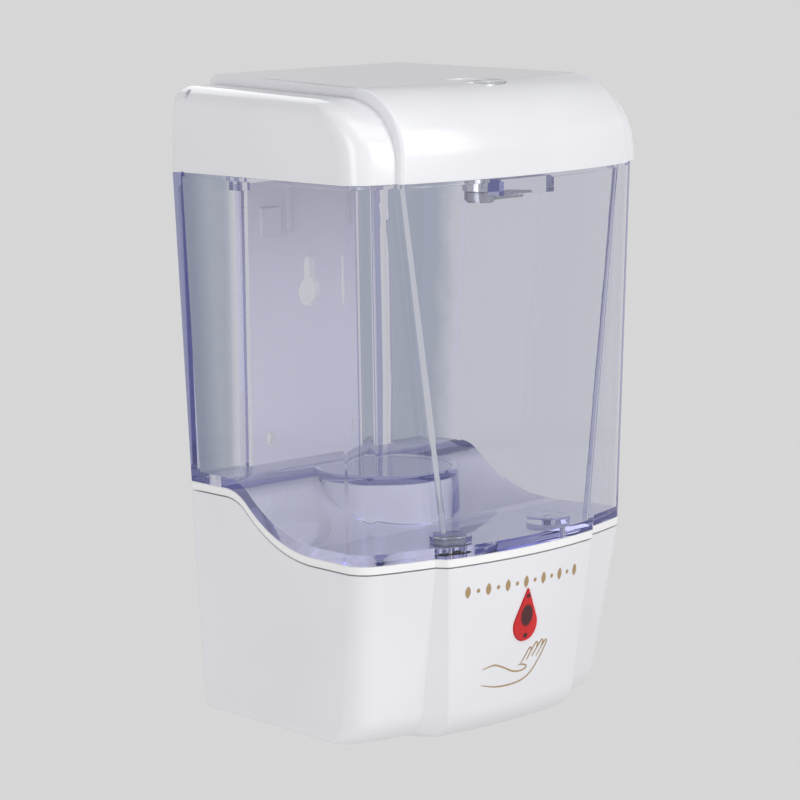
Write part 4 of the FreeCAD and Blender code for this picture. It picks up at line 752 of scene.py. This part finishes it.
# ------------------------------------------------------------------------------- print
@dataclass
class FrontPrint:
    """Hot-stamped print on the front: a leaf border and an open hand, both generic."""

    shop: Workshop
    line: float = 0.5 * MM
    lift: float = 0.06 * MM
    border_x: tuple[float, float] = (-27.0 * MM, 25.0 * MM)
    border_height: float = 46.8 * MM
    leaf_half: float = 1.9 * MM
    leaf_count: int = 13
    leaf_slim: float = 0.55     # a leaf's width, as a share of its length
    leaf_point: float = 1.6     # how sharply a leaf's ends are drawn in
    bead_size: float = 0.35     # a bead's size, as a share of a leaf's length
    outline_steps: int = 14
    stroke_end: float = 0.45    # a stroke's width at its ends, as a share of its full width
    stroke_swell: float = 4.0   # how fast a stroke reaches its full width
    stroke_steps: int = 8
    hand_strokes: tuple[tuple[tuple[float, float], ...], ...] = (
        ((-16.8, 21.2), (-12.0, 21.9), (-8.0, 20.6), (-4.2, 18.9), (-1.0, 18.3), (1.8, 18.7), (2.2, 19.6),
         (0.6, 20.2), (-1.6, 20.3)),
        ((-16.8, 16.2), (-11.0, 14.9), (-5.0, 14.6), (0.5, 15.2), (4.4, 17.0), (7.2, 19.8), (9.6, 23.0),
         (11.3, 25.8), (10.6, 26.3), (8.8, 24.4), (6.6, 21.8)),
        ((8.8, 24.4), (9.5, 26.2), (8.7, 26.6), (6.6, 24.4), (4.6, 22.0)),
        ((6.6, 24.4), (6.9, 26.0), (6.0, 26.2), (3.9, 23.7), (2.2, 21.2)),
        ((3.9, 23.7), (4.0, 24.9), (3.2, 25.0), (1.4, 22.7), (-0.4, 20.4)),
    )

    def build(self) -> None:
        """Lay the border and the hand onto the shell's front."""
        surface = self.front_surface()
        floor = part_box("base_shell")[0].z
        border = bmesh.new()
        for index in range(self.leaf_count):
            share = (index + 0.5) / self.leaf_count
            x = self.border_x[0] + (self.border_x[1] - self.border_x[0]) * share
            self.leaf(border, surface, x, floor + self.border_height, index % 2 == 0)
        self.finish(border, "front_border")
        hand = bmesh.new()
        for stroke in self.hand_strokes:
            path = self.smooth_path([(x * MM, z * MM + floor) for x, z in stroke])
            self.ribbon(hand, surface, path)
        self.finish(hand, "open_hand_icon")

    def front_surface(self) -> BVHTree:
        """Return a search tree of the base shell."""
        mesh = self.shop.nodes["base_shell"].data
        return BVHTree.FromPolygons([v.co for v in mesh.vertices], [p.vertices for p in mesh.polygons])

    def on_front(self, surface: BVHTree, x: float, z: float) -> tuple[Vector, Vector]:
        """Return the point on the front at a place, just proud of it, and the outward normal.

        Args:
            surface: search tree of the shell.
            x: place across, in metres.
            z: place upwards, in metres.

        Returns:
            The point just proud of the surface, and the normal there.
        """
        hit, normal, _, _ = surface.ray_cast(Vector((x, -1.0, z)), Vector((0, 1, 0)))
        if normal.y > 0:
            normal = -normal
        return hit + normal * self.lift, normal

    def smooth_path(self, points: Sequence[tuple[float, float]]) -> list[tuple[float, float]]:
        """Return a smooth line through points, as a Catmull-Rom spline.

        Args:
            points: x and z of each point, in metres.

        Returns:
            Points along the line, in metres.
        """
        path = []
        padded = [points[0], *points, points[-1]]
        for a, b, c, d in zip(padded, padded[1:], padded[2:], padded[3:]):
            for step in range(self.stroke_steps):
                t = step / self.stroke_steps
                path.append(tuple(
                    0.5 * (2 * q + (r - p) * t + (2 * p - 5 * q + 4 * r - s) * t ** 2
                           + (3 * q - p - 3 * r + s) * t ** 3)
                    for p, q, r, s in zip(a, b, c, d)))
        path.append(points[-1])
        return path

    def ribbon(self, work: bmesh.types.BMesh, surface: BVHTree, path: Sequence[tuple[float, float]]) -> None:
        """Add one printed line of even width, thinner towards its ends.

        Args:
            work: the mesh that it is added to.
            surface: search tree of the shell.
            path: x and z along the line, in metres.
        """
        rows = []
        count = len(path)
        for index, (x, z) in enumerate(path):
            before, after = path[max(index - 1, 0)], path[min(index + 1, count - 1)]
            along = Vector((after[0] - before[0], after[1] - before[1]))
            if along.length < 1e-9:
                continue
            across = Vector((-along.y, along.x)).normalized()
            from_end = min(index, count - 1 - index)
            taper = min(1.0, self.stroke_end + self.stroke_swell * from_end / count)
            half = across * (self.line / 2 * taper)
            rows.append([work.verts.new(self.on_front(surface, x + s * half.x, z + s * half.y)[0])
                         for s in (-1, 1)])
        for low, high in zip(rows, rows[1:]):
            work.faces.new((low[0], low[1], high[1], high[0]))

    def leaf(self, work: bmesh.types.BMesh, surface: BVHTree, x: float, z: float, large: bool) -> None:
        """Add one leaf of the border, upright and pointed at both ends, or a small bead.

        Args:
            work: the mesh that it is added to.
            surface: search tree of the shell.
            x: its centre across, in metres.
            z: its centre upwards, in metres.
            large: true for a leaf, false for a bead.
        """
        half = self.leaf_half if large else self.leaf_half * self.bead_size
        width = self.leaf_half * (self.leaf_slim if large else self.bead_size)
        ring = []
        for step in range(self.outline_steps):
            turn = 2 * math.pi * step / self.outline_steps
            swell = abs(math.sin(turn)) ** (self.leaf_point if large else 1.0)
            side = math.copysign(swell, math.sin(turn)) * width
            ring.append(work.verts.new(self.on_front(surface, x + side, z + half * math.cos(turn))[0]))
        work.faces.new(ring)

    def finish(self, work: bmesh.types.BMesh, name: str) -> None:
        """Turn the work into a printed piece that faces the front.

        Args:
            work: the mesh work, freed here.
            name: the piece's name.
        """
        for face in work.faces:
            face.normal_update()
            if face.normal.y > 0:
                face.normal_flip()
        mesh = bpy.data.meshes.new(name)
        work.to_mesh(mesh)
        work.free()
        self.shop.add(name, mesh, "base_shell", GOLD_FOIL, replaces=False)


# ------------------------------------------------------------------------------- studio
@dataclass(frozen=True)
class Softbox:
    """A soft light: its name, place and size in metres, and power in watts."""

    name: str
    place: tuple[float, float, float]
    size: tuple[float, float]
    power: float


SOFTBOXES = (
    Softbox("key", (0.55, -1.8, 0.75), (0.9, 1.2), 13.5),
    Softbox("fill", (-1.7, -0.7, 0.45), (0.7, 1.4), 10.5),
    Softbox("top", (0.1, -0.9, 1.6), (1.1, 1.1), 8.0),
    Softbox("rear", (0.6, 1.3, 0.9), (1.0, 1.0), 5.0),
)


@dataclass
class Studio:
    """Pale floor that curves up all round, soft lights and the camera."""

    aim: Vector = field(default_factory=lambda: Vector((-7.25, -50.0, 99.34)) * MM)
    azimuth: float = -45.65
    elevation: float = 8.28
    roll: float = -0.77
    distance: float = 1091.9 * MM
    lens: float = 157.5
    foot: float = -0.1388
    bowl_radius: float = 3.2
    bowl_height: float = 2.3
    bowl_sides: int = 64
    bowl_steps: int = 12
    floor_drop: float = 1.25
    floor_shade: float = 0.2
    floor_roughness: float = 0.9
    floor_glow: float = 0.54
    lit_point: Vector = field(default_factory=lambda: Vector((0, -0.04, 0)))
    sky_colour: Colour = (0.97, 0.98, 1.0, 1.0)
    sky_strength: float = 0.32
    sensor_width: float = 36.0
    clip: tuple[float, float] = (0.05, 50.0)

    def build(self) -> None:
        """Add the floor, the lights, the world and the camera."""
        self.floor()
        self.lights()
        self.world()
        self.camera()

    def floor(self) -> None:
        """Add the floor with its curved rim."""
        work = bmesh.new()
        rings = []
        count = self.bowl_sides
        profile = [(0.0, 0.0), (self.bowl_radius * 0.5, 0.0)]
        for step in range(self.bowl_steps + 1):
            turn = math.pi / 2 * step / self.bowl_steps
            profile.append((self.bowl_radius * (0.5 + 0.5 * math.sin(turn)),
                            self.bowl_height * (1 - math.cos(turn))))
        for radius, height in profile[1:]:
            rings.append([work.verts.new((radius * math.cos(2 * math.pi * i / count),
                                          radius * math.sin(2 * math.pi * i / count), height))
                          for i in range(count)])
        work.faces.new(rings[0])
        for low, high in zip(rings, rings[1:]):
            for i in range(count):
                j = (i + 1) % count
                work.faces.new((low[i], low[j], high[j], high[i])).smooth = True
        mesh = bpy.data.meshes.new("studio_floor")
        work.to_mesh(mesh)
        work.free()
        floor = bpy.data.objects.new("studio_floor", mesh)
        floor.location.z = self.foot - self.floor_drop
        bpy.context.scene.collection.objects.link(floor)
        paint = bpy.data.materials.new("matt_pale_floor")
        paint.use_nodes = True
        shader = paint.node_tree.nodes["Principled BSDF"]
        shader.inputs["Base Color"].default_value = (self.floor_shade,) * 3 + (1.0,)
        shader.inputs["Roughness"].default_value = self.floor_roughness
        shader.inputs["Emission Color"].default_value = (1.0, 1.0, 1.0, 1.0)
        shader.inputs["Emission Strength"].default_value = self.floor_glow
        mesh.materials.append(paint)

    def lights(self) -> None:
        """Add the softboxes, all turned to the object."""
        for box in SOFTBOXES:
            data = bpy.data.lights.new(box.name, "AREA")
            data.shape = "RECTANGLE"
            data.size, data.size_y = box.size
            data.energy = box.power
            lamp = bpy.data.objects.new(box.name, data)
            lamp.location = box.place
            lamp.rotation_mode = "QUATERNION"
            lamp.rotation_quaternion = (self.lit_point - Vector(box.place)).to_track_quat("-Z", "Y")
            bpy.context.scene.collection.objects.link(lamp)

    def world(self) -> None:
        """Set a pale, even sky."""
        world = bpy.data.worlds.new("pale_studio")
        world.use_nodes = True
        sky = world.node_tree.nodes["Background"]
        sky.inputs["Color"].default_value = self.sky_colour
        sky.inputs["Strength"].default_value = self.sky_strength
        bpy.context.scene.world = world
        bpy.context.scene.view_settings.view_transform = "Standard"

    def camera(self) -> None:
        """Place the camera."""
        az, el = math.radians(self.azimuth), math.radians(self.elevation)
        back = Vector((math.sin(az) * math.cos(el), -math.cos(az) * math.cos(el), math.sin(el)))
        aim = self.aim + Vector((0, 0, self.foot))
        data = bpy.data.cameras.new("camera")
        data.sensor_width = self.sensor_width
        data.lens = self.lens
        data.clip_start, data.clip_end = self.clip
        camera = bpy.data.objects.new("camera", data)
        turn = (-back).to_track_quat("-Z", "Y").to_matrix()
        camera.rotation_mode = "QUATERNION"
        tilt = Matrix.Rotation(math.radians(self.roll), 3, "Z")
        camera.rotation_quaternion = (turn @ tilt).to_quaternion()
        camera.location = aim + back * self.distance
        bpy.context.scene.collection.objects.link(camera)
        bpy.context.scene.camera = camera


def main() -> None:
    """Build everything in order."""
    logging.basicConfig(level=logging.INFO, format="%(name)s: %(message)s")
    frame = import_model()
    record = frame["record"]
    shop = Workshop(frame["nodes"], record["behaviour"]["bodies"],
                    {part["node"]: part["material_slot"] for part in record["subparts"]})
    for name, finish in NODE_FINISHES.items():
        shop.dress(frame["nodes"][name], finish)
    for index in range(1, CELL_COUNT + 1):
        shop.dress(frame["nodes"][f"battery_cell_{index}"], JACKET)
    for index in range(1, ROLLER_COUNT + 1):
        shop.dress(frame["nodes"][f"pump_roller_{index}"], NATURAL_NYLON)
    for assembly in (Casing(shop), ClearTank(shop), FrontPrint(shop)):
        assembly.build()
    Studio().build()


if __name__ == "__main__":
    main()
